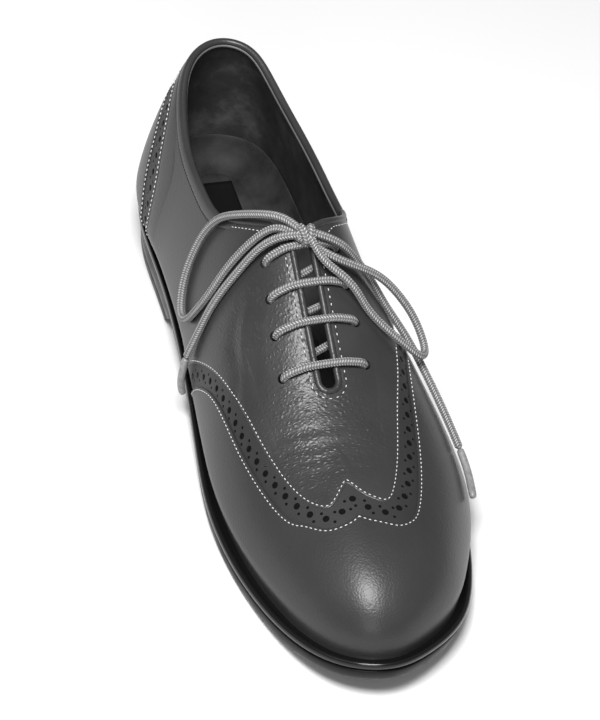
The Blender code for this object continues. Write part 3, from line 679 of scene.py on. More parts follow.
def crease_lift(piece):
    """Soft troughs with a low ridge beside each, by place on the vamp seen from above."""
    spots = points_of(piece)[0][:, :2] / MM + MIDDLE[:2]
    lift = np.zeros(len(spots))
    for x_start, y_start, x_end, y_end, bow, depth, width in CREASES:
        line = np.array([x_end - x_start, y_end - y_start])
        length = np.linalg.norm(line)
        off = spots - (x_start, y_start)
        share = off @ line / length**2
        fade = np.clip(4 * share * (1 - share), 0, 1)
        aside = (off @ np.array([-line[1], line[0]]) / length + bow * fade) / width
        ridge = CREASE_RIDGE * np.exp(-((aside - CREASE_RIDGE_ASIDE) ** 2))
        lift += depth * fade * (ridge - np.exp(-(aside**2)))
    return lift


skin = mesh_piece("upper_leather", skin_sides(), hide_leather, inside=UPPER_CORE)
lifted(skin, SKIN_LIFT + crease_lift(skin))
add_wall(skin, SKIN_THICK, rounding=1)
skin.data.shade_smooth()
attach(skin, "root")
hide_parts("upper")

# Lining: thin dark leather glued inside the whole upper.  It ends just under the top edge, where the
# collar's binding covers it, and its face is rubbed lighter in patches by wear.
LINING_THICK = 0.8
LINING_DROP = 0.7
LINING_GAP = 0.05
lining_leather, nodes, links, shader, place = plain_finish("lining_leather", (0.04, 0.04, 0.04), 0.45)
rubbed = add_noise(nodes, links, place, 45.0, 6.0, 0.65)
rubbed_tone = add_ramp(nodes, links, rubbed, ((0.35, 0.018), (0.55, 0.04), (0.75, 0.11)))
links.new(rubbed_tone, shader.inputs["Base Color"])
links.new(add_ramp(nodes, links, rubbed, ((0.35, 0.5), (0.7, 0.3))), shader.inputs["Roughness"])
first = add_bump(nodes, links, add_noise(nodes, links, place, 160.0), shader, 0.0012, 0.25)
add_bump(nodes, links, add_noise(nodes, links, place, 1100.0), shader, 0.00015, 0.5, first)
lining = mesh_piece("lining", skin_sides(LINING_DROP), lining_leather, inside=UPPER_CORE)
lifted(lining, SKIN_LIFT - SKIN_THICK - LINING_GAP)
add_wall(lining, LINING_THICK, rounding=1)
lining.data.shade_smooth()
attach(lining, "root")

# Sock edge: the sock's leather, turned up round the heel and along the sides and glued to the lining.
# It rounds the corner between insole and lining and runs forward to under the lacing.
SOCK_TURN = 9.0
SOCK_CLIMB = 11.0
SOCK_ABOVE = 0.1
SOCK_SINK = 0.7
SOCK_COLUMNS = 60
SOCK_ROWS = 10
ABOVE_HEEL = (60, 0, 400)
SOCK_FRONT = 150.0
SOCK_LIFT = -1.8
SOCK_THICK = 0.4
turn_where = np.linspace(0, float(station(SOCK_FRONT)), SOCK_COLUMNS)
turn_lines = at_stations(edge_sides(lambda x: welt_width(x) + WALL + INSOLE_CLEAR + SOCK_TURN), turn_where)
bend = np.linspace(0, 1, SOCK_ROWS)[:, None]
grid = []
for side, numbers in ((-1, range(SOCK_COLUMNS - 1, -1, -1)), (1, range(1, SOCK_COLUMNS))):
    for number in numbers:
        where = turn_where[number]
        x, y = turn_lines[0 if side > 0 else 1][number]
        level = welt_top(x) - WELT_HEIGHT + GAP + INSOLE + SOCK_ABOVE
        corner_rise = rise_at_height(side, where, level)
        top_of_turn = rise_at_height(side, where, level + SOCK_CLIMB)
        corner = last_point(side, where, corner_rise) + outward(side, where, corner_rise) * SOCK_LIFT
        top = last_point(side, where, top_of_turn) + outward(side, where, top_of_turn) * SOCK_LIFT
        flat = np.array([x, y, level - SOCK_SINK])
        grid.append((1 - bend)**2 * flat + 2 * bend * (1 - bend) * corner + bend**2 * top)
sock_edge = mesh_piece("sock_edge", [(np.array(grid), False, False)], sock_leather, inside=ABOVE_HEEL)
add_wall(sock_edge, SOCK_THICK, rounding=1)
sock_edge.data.shade_smooth()
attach(sock_edge, "root")

# Wing cap: smooth leather toe cap with a wing-shaped back edge, folded over and stitched down on the
# punched strip; it is pulled over the toe and goes down into the welt all round.
WING_OUTER_SIDE = (
    # across, x of the lower seam, x of the upper seam  from the welt up to the wing's point
    (-1.0, 125.5, 113.5), (-0.93, 127.8, 116.4), (-0.85, 131.7, 121.0), (-0.77, 139.0, 129.0),
    (-0.69, 149.7, 138.5), (-0.635, 161.5, 146.0), (-0.575, 180.0, 155.5), (-0.5, 203.7, 169.5),
    (-0.405, 213.0, 196.0), (-0.31, 218.0, 208.8), (-0.19, 219.5, 211.4), (-0.12, 218.6, 207.6),
    (-0.075, 217.2, 204.4),
)
WING_INNER_SIDE = (
    # across, x of the lower seam, x of the upper seam  from the wing's point down to the welt
    (-0.075, 217.2, 204.4), (-0.02, 219.4, 209.6), (0.05, 221.5, 213.4), (0.12, 222.7, 213.0),
    (0.19, 221.5, 204.5), (0.25, 217.6, 192.6), (0.313, 205.1, 178.8), (0.36, 191.2, 170.3),
    (0.41, 177.0, 162.5), (0.475, 163.0, 152.7), (0.58, 149.0, 140.5), (0.72, 138.0, 129.0),
    (0.87, 130.0, 120.0), (1.0, 126.0, 115.5),
)
WING_POINT = -0.075
WING_FRONT = 230.5
CAP_LIFT = 1.25
CAP_THICK = 1.0
CAP_FOLD = 0.7
CAP_COLUMNS = 13
CAP_CROWDING = 1.2
TOE_COLUMNS = 24
WING_ROWS_OUTER = 64
WING_ROWS_INNER = 68
TOE_CORE = (190, 0, 15)
wing_outer_side = columns_of(WING_OUTER_SIDE)
wing_inner_side = columns_of(WING_INNER_SIDE)
wing_across = np.concatenate([
    np.linspace(-1, WING_POINT, WING_ROWS_OUTER), np.linspace(WING_POINT, 1, WING_ROWS_INNER)[1:],
])


def wing_lines(across):
    """Where the wing's lower and upper seams cross lines of equal rise."""
    outer_part = np.asarray(across)[..., None] < WING_POINT
    return np.where(outer_part, wing_outer_side(across), wing_inner_side(across))


def on_wing(across, x, lift=0.0):
    """Points over the upper along lines of equal rise, and the directions out of the leather."""
    spots, normals = np.empty((2, *x.shape, 3))
    for side in (-1, 1):
        here = (across > 0) == (side > 0)
        where = station(x[here])
        rise = np.broadcast_to(1 - np.abs(across[here])[:, None], where.shape)
        spots[here] = last_point(side, where, rise)
        normals[here] = outward(side, where, rise)
    return spots + normals * np.broadcast_to(lift, x.shape)[..., None], normals


def spread(starts, ends, shares):
    """Rows of places between starts and ends."""
    return starts[:, None] + (ends - starts)[:, None] * np.asarray(shares)


cap_leather, nodes, links, shader, place = plain_finish("cap_leather", (0.03, 0.03, 0.03), 0.42)
tone = add_noise(nodes, links, place, 30.0, 4.0)
links.new(add_ramp(nodes, links, tone, ((0.25, 0.025), (0.75, 0.033))), shader.inputs["Base Color"])
links.new(add_ramp(nodes, links, tone, ((0.2, 0.32), (0.8, 0.38))), shader.inputs["Roughness"])
shader.inputs["Specular IOR Level"].default_value = 0.3
cells = nodes.new("ShaderNodeTexVoronoi")
cells.feature = "SMOOTH_F1"
cells.inputs["Scale"].default_value = 1500.0
links.new(place, cells.inputs["Vector"])
first = add_bump(nodes, links, add_noise(nodes, links, place, 300.0), shader, 0.0003, 0.12)
add_bump(nodes, links, cells.outputs["Distance"], shader, 0.0002, 0.3, first)

cap_low, cap_high = wing_lines(wing_across).T
toe_where = np.linspace(float(station(WING_FRONT)), 1, TOE_COLUMNS)[1:]
toe_share = (1 - np.cos(np.pi * toe_where)) / 2
toe_x = np.tile(FEATHER_HEEL + (FEATHER_TOE[0] - FEATHER_HEEL) * toe_share, (len(wing_across), 1))
cap_shares = np.linspace(0, 1, CAP_COLUMNS) ** CAP_CROWDING
fold_x = spread(cap_low + CAP_FOLD, np.full(len(cap_low), WING_FRONT), cap_shares)
grid = on_wing(wing_across, np.hstack([cap_low[:, None], fold_x, toe_x]))[0]
wing_cap = mesh_piece("wing_cap_leather", [(grid, False, False)], cap_leather, inside=TOE_CORE)
lifted(wing_cap, CAP_LIFT)
add_wall(wing_cap, CAP_THICK, rounding=1)
wing_cap.data.shade_smooth()
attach(wing_cap, "root")
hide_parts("wing_cap")

# Wing strip: a thinner, darker strip laid under the cap's and the vamp's folded edges and punched
# with a row of large holes and pairs of small ones; a near-black sheet laid under it is painted shade that
# darkens the holes.
STRIP_LIFT = 0.7
STRIP_THICK = 0.4
STRIP_TUCK = 1.6
HOLE_SHADE_LIFT = 0.3
HOLE_SHADE_THICK = 0.2
LARGE_HOLE = 2.4
SMALL_HOLE = 1.1
HOLE_PITCH = 6.0
SMALL_HOLE_ACROSS = 1.7
HOLE_LEAN = 0.12
HOLE_SIDES = 14
HOLES_END = 25
PUNCH_LENGTH = 4 * STRIP_THICK
SHARP_ANGLE = 0.6
STRIP_COLUMNS = 7
SEAM_REACH = 0.985
SEAM_POINTS = 300
TURNED_EDGE = (
    # distance past the seam, rise of the leather's face: it swells to the seam and is skived thin past it
    (-18, 0.0), (-13, 0.06), (-8, 0.25), (-5, 0.42), (-2.6, 0.5), (-1.2, 0.1), (0.3, -0.5),
    (1.5, -0.6),
)
SHOE_CORE = np.array([130.0, 0.0, 25.0])
strip_leather, nodes, links, shader, place = plain_finish("strip_leather", (0.025, 0.025, 0.025), 0.5)
shader.inputs["Specular IOR Level"].default_value = 0.3
tone = add_noise(nodes, links, place, 60.0, 4.0)
links.new(add_ramp(nodes, links, tone, ((0.25, 0.02), (0.75, 0.027))), shader.inputs["Base Color"])
add_bump(nodes, links, add_noise(nodes, links, place, 1100.0), shader, 0.00015, 0.35)
# Near-black sheet under the punched strips: painted shade, so the holes look dark and deep.
painted_hole_shade, nodes, links, shader, place = plain_finish("painted_hole_shade", (0.003, 0.003, 0.003), 0.9)
shader.inputs["Specular IOR Level"].default_value = 0.1
add_bump(nodes, links, add_noise(nodes, links, place, 1500.0), shader, 0.0001, 0.4)


def link_nodes(tree, *pairs):
    """Join sockets of a geometry tree: each pair is (from socket, to socket)."""
    for start, end in pairs:
        tree.links.new(start, end)


def named_vector(tree, name):
    """A stored direction of the points."""
    node = tree.nodes.new("GeometryNodeInputNamedAttribute")
    node.data_type = "FLOAT_VECTOR"
    node.inputs["Name"].default_value = name
    return node.outputs["Attribute"]


def punch_tree():
    """Geometry tree: round holes through a piece at the points of another object."""
    tree = bpy.data.node_groups.new("punch_holes", "GeometryNodeTree")
    face = tree.interface
    face.new_socket("Leather", in_out="INPUT", socket_type="NodeSocketGeometry")
    face.new_socket("Hole Centres", in_out="INPUT", socket_type="NodeSocketObject")
    face.new_socket("Punch Length", in_out="INPUT", socket_type="NodeSocketFloat")
    face.new_socket("Finish", in_out="INPUT", socket_type="NodeSocketMaterial")
    face.new_socket("Leather", in_out="OUTPUT", socket_type="NodeSocketGeometry")
    given, result = tree.nodes.new("NodeGroupInput"), tree.nodes.new("NodeGroupOutput")
    centres = tree.nodes.new("GeometryNodeObjectInfo")
    punch = tree.nodes.new("GeometryNodeMeshCylinder")
    punch.inputs["Vertices"].default_value = HOLE_SIDES
    punch.inputs["Radius"].default_value = 0.5
    upright = tree.nodes.new("FunctionNodeAlignRotationToVector")
    upright.axis = "Z"
    width = tree.nodes.new("GeometryNodeInputNamedAttribute")
    width.data_type = "FLOAT"
    width.inputs["Name"].default_value = "width"
    scale = tree.nodes.new("ShaderNodeCombineXYZ")
    scale.inputs["Z"].default_value = 1.0
    on_points = tree.nodes.new("GeometryNodeInstanceOnPoints")
    real = tree.nodes.new("GeometryNodeRealizeInstances")
    cut = tree.nodes.new("GeometryNodeMeshBoolean")
    cut.operation = "DIFFERENCE"
    cut.solver = "MANIFOLD"
    dress = tree.nodes.new("GeometryNodeSetMaterial")
    link_nodes(
        tree,
        (given.outputs["Hole Centres"], centres.inputs["Object"]),
        (given.outputs["Punch Length"], punch.inputs["Depth"]),
        (named_vector(tree, "out"), upright.inputs["Vector"]),
        (width.outputs["Attribute"], scale.inputs["X"]),
        (width.outputs["Attribute"], scale.inputs["Y"]),
        (centres.outputs["Geometry"], on_points.inputs["Points"]),
        (punch.outputs["Mesh"], on_points.inputs["Instance"]),
        (upright.outputs["Rotation"], on_points.inputs["Rotation"]),
        (scale.outputs["Vector"], on_points.inputs["Scale"]),
        (on_points.outputs["Instances"], real.inputs["Geometry"]),
        (given.outputs["Leather"], cut.inputs["Mesh 1"]),
        (real.outputs["Geometry"], cut.inputs["Mesh 2"]),
        (cut.outputs["Mesh"], dress.inputs["Geometry"]),
        (given.outputs["Finish"], dress.inputs["Material"]),
        (dress.outputs["Geometry"], result.inputs["Leather"]),
    )
    return tree


def marked_points(name, spots, **marks):
    """Loose points in the frame with stored directions or widths."""
    mesh = bpy.data.meshes.new(name)
    mesh.from_pydata(((np.asarray(spots) - MIDDLE) * MM).tolist(), [], [])
    for mark, values in marks.items():
        values = np.asarray(values, np.float32)
        flat = values.ndim == 1
        store = mesh.attributes.new(mark, "FLOAT" if flat else "FLOAT_VECTOR", "POINT")
        store.data.foreach_set("value" if flat else "vector", values.ravel())
    points = bpy.data.objects.new(name, mesh)
    bpy.context.scene.collection.objects.link(points)
    return points


def set_input(modifier, name, value):
    """Set a tree's input by its identifier."""
    for item in modifier.node_group.interface.items_tree:
        if item.item_type == "SOCKET" and item.in_out == "INPUT" and item.name == name:
            modifier[item.identifier] = value


PUNCH = punch_tree()


def punch_piece(piece, centres, length):
    """Punch holes in a piece and make it plain mesh again."""
    punched = piece.modifiers.new("holes", "NODES")
    punched.node_group = PUNCH
    set_input(punched, "Hole Centres", centres)
    set_input(punched, "Punch Length", length * MM)
    set_input(punched, "Finish", piece.data.materials[0])
    applied(piece)
    piece.data.shade_smooth()
    piece.data.set_sharp_from_angle(angle=SHARP_ANGLE)
    bpy.data.objects.remove(centres, do_unlink=True)
    return piece


def evenly(spots, normals, pitch, first=0.5):
    """Places a pitch apart along a run on the leather: points, outward and forward directions."""
    reach = np.concatenate([[0], np.cumsum(np.linalg.norm(np.diff(spots, axis=0), axis=1))])
    count = max(int(reach[-1] / pitch), 1)
    stops = (np.arange(count) + first) * reach[-1] / count

    def pick(values, at):
        return np.stack([np.interp(at, reach, values[:, i]) for i in range(3)], axis=-1)

    ahead_of = pick(spots, stops + pitch / 5) - pick(spots, stops - pitch / 5)
    ahead_of /= np.linalg.norm(ahead_of, axis=1)[:, None] + 1e-12
    out = pick(normals, stops)
    out /= np.linalg.norm(out, axis=1)[:, None]
    return pick(spots, stops), out, ahead_of


def strip_holes(name, runs):
    """Centres of a strip's holes: large ones along its middle, a pair of small ones between each two."""
    spots, out, widths = [], [], []
    for middle, normals, first in runs:
        large, large_out, _ = evenly(middle, normals, HOLE_PITCH, first)
        small, small_out, along_strip = evenly(middle, normals, HOLE_PITCH, 0.5 + first % 1)
        aside = np.cross(small_out, along_strip) * SMALL_HOLE_ACROSS
        lean = along_strip * HOLE_PITCH * HOLE_LEAN
        spots += [large, (small + aside + lean)[:-1], (small - aside - lean)[:-1]]
        out += [large_out, small_out[:-1], small_out[:-1]]
        widths += [LARGE_HOLE * MM] * len(large) + [SMALL_HOLE * MM] * (2 * len(small) - 2)
    return marked_points(name, np.vstack(spots), out=np.vstack(out), width=widths)


def skived(piece, edge, ahead_of_edge):
    """Swell a leather's outer face up to a seam line and thin it past the line.

    The directions ahead of the edge say, for each of its points, which way past the line is.
    """
    spots, normals = points_of(piece)
    spots = spots / MM + MIDDLE
    outer = np.sum(normals * (spots - SHOE_CORE), axis=1) > 0
    seam = KDTree(len(edge))
    for number, spot in enumerate(edge):
        seam.insert(spot, number)
    seam.balance()
    seam_past, seam_rise = np.array(TURNED_EDGE).T
    rise = np.zeros(len(spots))
    for number in np.flatnonzero(outer):
        near, which, _ = seam.find(spots[number])
        away = spots[number] - np.array(near)
        past = np.copysign(np.linalg.norm(away), np.dot(away, ahead_of_edge[which]))
        rise[number] = np.interp(past, seam_past, seam_rise)
    move_points(piece, (spots + normals * rise[:, None] - MIDDLE) * MM)


def crosswise(start, end):
    """Directions from one line to another."""
    step = end - start
    return step / (np.linalg.norm(step, axis=1)[:, None] + 1e-12)


seam_across = np.concatenate([
    np.linspace(-SEAM_REACH, WING_POINT, SEAM_POINTS), np.linspace(WING_POINT, SEAM_REACH, SEAM_POINTS)[1:],
])
seam_low, seam_high = wing_lines(seam_across).T
upper_seam, _ = on_wing(seam_across, seam_high[:, None])
lower_seam, _ = on_wing(seam_across, seam_low[:, None])
skived(skin, upper_seam[:, 0], crosswise(upper_seam[:, 0], lower_seam[:, 0]))

strip_x = spread(cap_high - STRIP_TUCK, cap_low + STRIP_TUCK, np.linspace(0, 1, STRIP_COLUMNS))
grid = on_wing(wing_across, strip_x, STRIP_LIFT)[0]
wing_band = mesh_piece("wing_strip", [(grid, False, False)], strip_leather, inside=TOE_CORE)
add_wall(wing_band, STRIP_THICK)
wing_middle, wing_out = on_wing(seam_across, (seam_low + seam_high)[:, None] / 2, STRIP_LIFT)
point = np.searchsorted(seam_across, WING_POINT)
wing_runs = [
    (wing_middle[point:HOLES_END:-1, 0], wing_out[point:HOLES_END:-1, 0], 1.0),
    (wing_middle[point:-HOLES_END, 0], wing_out[point:-HOLES_END, 0], 0.0),
]
punch_piece(wing_band, strip_holes("wing_holes", wing_runs), PUNCH_LENGTH)
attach(wing_band, "root")
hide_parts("wing_band")
# Black sheet under the wing strip: painted shade seen through its holes.
hole_shade_x = spread(cap_high, cap_low, np.linspace(0, 1, STRIP_COLUMNS))
grid = on_wing(wing_across, hole_shade_x, HOLE_SHADE_LIFT)[0]
wing_backing = mesh_piece("wing_backing", [(grid, False, False)], painted_hole_shade, inside=TOE_CORE)
add_wall(wing_backing, HOLE_SHADE_THICK)
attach(wing_backing, "root")

# Vamp edge: the vamp's own edge of the same hide, turned under and stitched down on the strip's upper
# side.  It is a narrow fold that fades into the vamp and follows its creases.
EDGE_LIFT = 1.0
EDGE_THICK = 0.7
SEAM_STEP = 0.5
LEAST_STEP = 0.25
VAMP_CORE = (150, 0, 15)
EDGE_FOLD = (
    # distance back from the seam, lift off the upper's face
    (9.0, 0.4), (8.0, 0.55), (7.0, 0.66), (5.5, 0.79), (4.0, 0.9), (2.5, 0.97), (1.0, EDGE_LIFT),
    (0.0, 0.97),
)
fold_back, fold_lift = np.array(EDGE_FOLD).T
at_seam = on_wing(wing_across, cap_high[:, None])[0][:, 0]
past_seam = on_wing(wing_across, cap_high[:, None] + SEAM_STEP)[0][:, 0]
before_seam = on_wing(wing_across, cap_high[:, None] - SEAM_STEP)[0][:, 0]
step_x = past_seam - before_seam
run = np.gradient(at_seam, axis=0)
run /= np.linalg.norm(run, axis=1)[:, None]
square_step = np.linalg.norm(step_x - run * np.sum(step_x * run, axis=1)[:, None], axis=1)
edge_x = spread(cap_high, cap_high - 1 / np.clip(square_step, LEAST_STEP, None), fold_back)
grid = on_wing(wing_across, edge_x, fold_lift)[0]
vamp_edge = mesh_piece("vamp_edge", [(grid, False, False)], hide_leather, inside=VAMP_CORE)
lifted(vamp_edge, crease_lift(vamp_edge))
add_wall(vamp_edge, EDGE_THICK, rounding=1)
vamp_edge.data.shade_smooth()
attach(vamp_edge, "root")

# Wing stitching: one row of white thread on each side of the punched strip, sewn through the folded
# edges of cap and vamp.  The dark thread made here sews the collar and fills in round the slit.
STITCH_PITCH = 1.8
STITCH_LENGTH = 1.1
STITCH_WIDTH = 0.38
STITCH_RISE = 0.08
STITCH_SIDES = 8
STITCH_RINGS = 4
SEAM_INSET = 1.0
white_thread, nodes, links, shader, place = plain_finish("white_thread", (0.62, 0.62, 0.6), 0.6)
twist = add_noise(nodes, links, place, 2500.0)
links.new(add_ramp(nodes, links, twist, ((0.3, 0.42), (0.7, 0.7))), shader.inputs["Base Color"])
dark_thread, nodes, links, shader, place = plain_finish("dark_thread", (0.012, 0.012, 0.012), 0.5)
twist = add_noise(nodes, links, place, 2500.0)
links.new(add_ramp(nodes, links, twist, ((0.3, 0.008), (0.7, 0.02))), shader.inputs["Base Color"])


def stitch_tree():
    """Geometry tree: one rounded stitch at each point, along the seam and flat on the leather."""
    tree = bpy.data.node_groups.new("stitch_row", "GeometryNodeTree")
    face = tree.interface
    face.new_socket("Seam Points", in_out="INPUT", socket_type="NodeSocketGeometry")
    face.new_socket("Stitch Length", in_out="INPUT", socket_type="NodeSocketFloat")
    face.new_socket("Stitch Width", in_out="INPUT", socket_type="NodeSocketFloat")
    face.new_socket("Thread", in_out="INPUT", socket_type="NodeSocketMaterial")
    face.new_socket("Stitches", in_out="OUTPUT", socket_type="NodeSocketGeometry")
    given, result = tree.nodes.new("NodeGroupInput"), tree.nodes.new("NodeGroupOutput")
    bead = tree.nodes.new("GeometryNodeMeshUVSphere")
    bead.inputs["Segments"].default_value = STITCH_SIDES
    bead.inputs["Rings"].default_value = STITCH_RINGS
    bead.inputs["Radius"].default_value = 0.5
    size = tree.nodes.new("ShaderNodeCombineXYZ")
    shape = tree.nodes.new("GeometryNodeTransform")
    forward = tree.nodes.new("FunctionNodeAlignRotationToVector")
    forward.axis = "X"
    flat = tree.nodes.new("FunctionNodeAlignRotationToVector")
    flat.axis = "Z"
    flat.pivot_axis = "X"
    on_points = tree.nodes.new("GeometryNodeInstanceOnPoints")
    real = tree.nodes.new("GeometryNodeRealizeInstances")
    smooth = tree.nodes.new("GeometryNodeSetShadeSmooth")
    dress = tree.nodes.new("GeometryNodeSetMaterial")
    link_nodes(
        tree,
        (given.outputs["Stitch Length"], size.inputs["X"]),
        (given.outputs["Stitch Width"], size.inputs["Y"]),
        (given.outputs["Stitch Width"], size.inputs["Z"]),
        (bead.outputs["Mesh"], shape.inputs["Geometry"]),
        (size.outputs["Vector"], shape.inputs["Scale"]),
        (named_vector(tree, "along"), forward.inputs["Vector"]),
        (forward.outputs["Rotation"], flat.inputs["Rotation"]),
        (named_vector(tree, "out"), flat.inputs["Vector"]),
        (given.outputs["Seam Points"], on_points.inputs["Points"]),
        (shape.outputs["Geometry"], on_points.inputs["Instance"]),
        (flat.outputs["Rotation"], on_points.inputs["Rotation"]),
        (on_points.outputs["Instances"], real.inputs["Geometry"]),
        (real.outputs["Geometry"], smooth.inputs["Geometry"]),
        (smooth.outputs["Geometry"], dress.inputs["Geometry"]),
        (given.outputs["Thread"], dress.inputs["Material"]),
        (dress.outputs["Geometry"], result.inputs["Stitches"]),
    )
    return tree


STITCHING = stitch_tree()


def stitch_row(name, runs, thread, pitch=STITCH_PITCH, first=0.5):
    """Rows of stitches along runs of points and normals, as one plain mesh riding on the shoe."""
    rows = [evenly(spots, normals, pitch, first) for spots, normals in runs]
    spots, out, along_seam = (np.vstack(column) for column in zip(*rows))
    row = marked_points(name, spots, out=out, along=along_seam)
    sewn = row.modifiers.new("stitches", "NODES")
    sewn.node_group = STITCHING
    set_input(sewn, "Stitch Length", STITCH_LENGTH * MM)
    set_input(sewn, "Stitch Width", STITCH_WIDTH * MM)
    set_input(sewn, "Thread", thread)
    applied(row)
    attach(row, "root")
    return row


def beside(spots, normals, inset):
    """A run moved sideways on the leather."""
    run = np.gradient(spots, axis=0)
    aside = np.cross(normals, run)
    return spots + aside / (np.linalg.norm(aside, axis=1)[:, None] + 1e-12) * inset, normals


upper_run, upper_out = on_wing(seam_across, seam_high[:, None], EDGE_LIFT + STITCH_RISE)
lower_run, lower_out = on_wing(seam_across, seam_low[:, None], CAP_LIFT + STITCH_RISE)
upper_row = beside(upper_run[:, 0], upper_out[:, 0], SEAM_INSET)
lower_row = beside(lower_run[:, 0], lower_out[:, 0], -SEAM_INSET)
stitch_row("wing_stitches", [upper_row, lower_row], white_thread)

# Heel counter: a smooth leather piece round the heel with its own punched strip along its curved
# upper edge, under the quarters' folded edge; sewn with the same white thread.
COUNTER_BAND = (
    # x, z of the strip's front edge, x, z of its rear edge  from the welt up to the back seam
    (52.2, 17.8, 43.1, 17.8), (50.5, 31, 41.3, 28), (46.5, 43, 37.7, 34.5), (40, 51.5, 32, 43),
    (31, 60.5, 24.5, 54), (20, 68.5, 15, 62.5), (9.5, 73, 7, 66.5), (2.5, 75, 2.5, 68),
)
COUNTER_LIFT = 1.25
STRIP_WIDTH = 9.0
STRIP_OVERLAP = 0.2
BELOW_COLLAR = 3.4
COUNTER_COLUMNS = 49
COUNTER_ROWS = 15
COUNTER_HOLES_END = 6
HEEL_CORE = (60, 0, 25)
FRONT_EDGE = np.array([1.0])
REAR_EDGE = np.array([0.0])
BAND_MIDDLE = np.array([0.5])
counter_edges = columns_of([(step, *row) for step, row in enumerate(COUNTER_BAND)])
counter_swing = 1 - np.cos(np.pi * np.linspace(0, 1, COUNTER_COLUMNS))
counter_steps = (len(COUNTER_BAND) - 1) * counter_swing / 2


def on_wall(share, lift):
    """Points round the heel between the strip's rear (0) and front edge (1), outer side then inner."""
    spots, normals = [], []
    for side, steps in ((-1, counter_steps), (1, counter_steps[::-1])):
        front_x, front_z, rear_x, rear_z = counter_edges(steps).T
        x = np.clip(spread(rear_x, front_x, share), FEATHER_HEEL, None)
        z = spread(rear_z, front_z, share)
        collar_z = collar_height(x - FEATHER_HEEL)[..., 0 if side > 0 else 1]
        z = np.minimum(z, collar_z - BELOW_COLLAR)
        where = station(x)
        flat = zip(where.ravel(), z.ravel())
        rise = np.array([rise_at_height(side, at, level) for at, level in flat]).reshape(x.shape)
        spots.append(last_point(side, where, rise))
        normals.append(outward(side, where, rise))
    spots, normals = np.vstack(spots), np.vstack(normals)
    return spots + normals * np.broadcast_to(lift, spots.shape[:2])[..., None], normals


grid = []
for side, steps in ((-1, counter_steps), (1, counter_steps[::-1])):
    for rear_x, rear_z in counter_edges(steps)[:, 2:]:
        top = rise_at_height(side, station(rear_x), rear_z)
        grid.append(last_point(side, station(rear_x), top * np.linspace(0, 1, COUNTER_ROWS)))
grid = np.array(grid)
heel_counter = mesh_piece("counter_leather", [(grid, False, False)], cap_leather, inside=HEEL_CORE)
lifted(heel_counter, COUNTER_LIFT)
add_wall(heel_counter, CAP_THICK, rounding=1)
heel_counter.data.shade_smooth()
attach(heel_counter, "root")
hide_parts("heel_counter")

front_edge, _ = on_wall(FRONT_EDGE, 0.0)
rear_edge, _ = on_wall(REAR_EDGE, 0.0)
skived(skin, front_edge[:, 0], crosswise(front_edge[:, 0], rear_edge[:, 0]))
grid = on_wall(np.linspace(-STRIP_OVERLAP, 1 + STRIP_OVERLAP, STRIP_COLUMNS), STRIP_LIFT)[0]
counter_band = mesh_piece("counter_strip", [(grid, False, False)], strip_leather, inside=HEEL_CORE)
add_wall(counter_band, STRIP_THICK)
band_middle, band_out = on_wall(BAND_MIDDLE, STRIP_LIFT)
punched = slice(COUNTER_HOLES_END, -COUNTER_HOLES_END)
counter_runs = [(band_middle[punched, 0], band_out[punched, 0], 0.5)]
punch_piece(counter_band, strip_holes("counter_holes", counter_runs), PUNCH_LENGTH)
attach(counter_band, "root")
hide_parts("counter_band")
# Black sheet under the counter strip: painted shade seen through its holes.
grid = on_wall(np.linspace(0, 1, STRIP_COLUMNS), HOLE_SHADE_LIFT)[0]
counter_backing = mesh_piece("counter_backing", [(grid, False, False)], painted_hole_shade, inside=HEEL_CORE)
add_wall(counter_backing, HOLE_SHADE_THICK)
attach(counter_backing, "root")

quarter_shares = 1 + fold_back[::-1] / STRIP_WIDTH
grid = on_wall(quarter_shares, fold_lift[::-1])[0]
quarter_edge = mesh_piece("quarter_edge", [(grid, False, False)], hide_leather, inside=HEEL_CORE)
add_wall(quarter_edge, EDGE_THICK, rounding=1)
quarter_edge.data.shade_smooth()
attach(quarter_edge, "root")
front_run, front_out = on_wall(FRONT_EDGE, EDGE_LIFT + STITCH_RISE)
rear_run, rear_out = on_wall(REAR_EDGE, COUNTER_LIFT + STITCH_RISE)
counter_rows = [
    beside(front_run[:, 0], front_out[:, 0], SEAM_INSET),
    beside(rear_run[:, 0], rear_out[:, 0], -SEAM_INSET),
]
stitch_row("counter_stitches", counter_rows, white_thread)

# Collar: the top edge is bound with a folded strip of the same hide, with the lining's lighter cut edge
# just inside it.  The edges of the facings and the lacing slit are turned into a round bead, with a row
# of stitches a little way outside it.
BINDING = (
    # distance below the top edge, lift off the upper's face  from the outside over the edge to the lining
    (3.9, 0.2), (3.8, 0.75), (2.4, 0.95), (0.9, 0.9), (0.0, 0.65), (-0.45, 0.1), (-0.6, -0.5),
    (-0.45, -1.2), (0.1, -1.85), (1.2, -2.1), (3.4, -2.05), (3.5, -1.4),
)
BINDING_END = 104.0
COLLAR_COLUMNS = 60
COLLAR_CROWDING = 1.6
ABOVE_COLLAR = (60, 0, 120)
CLIMB_STEP = 0.01
HIGHEST_RISE = 0.995
BEAD = 2.5
BEAD_LIFT = -0.15
BEAD_START = 98.0
BEAD_SPANS = (
    # x at the start, x at the end, places
    (BEAD_START, 124, 60), (125, 166, 42),
)
BEAD_TURN = 2.1
BEAD_TURN_PLACES = 14
BEAD_STEP = 0.9
BEAD_SIDES = 10
RIM = 1.1
RIM_BELOW = 1.3
RIM_LIFT = -2.0
RIM_STEP = 1.5
RIM_SIDES = 8
TAPER_STEPS = 3
ASKEW = (0.31, 0.17, 0.93)
COLLAR_SEAM = 4.3
COLLAR_SEAM_PLACES = 90
COLLAR_SEAM_CROWDING = 1.5
COLLAR_PITCH = 1.5
FACING_SEAM = 101.0
FACING_BACK = 2.7
FACING_PAST_CORNER = 4
FACING_PLACES = 50
FACING_EASE = 9
SLIT_SEAM = 2.5
SLIT_RISE = 0.2
SLIT_SEAM_STRAIGHT = 168
SLIT_SEAM_PLACES = 100
SLIT_SEAM_TURN = 2.3
SLIT_SEAM_TURN_PLACES = 30
SLIT_PITCH = 2.6


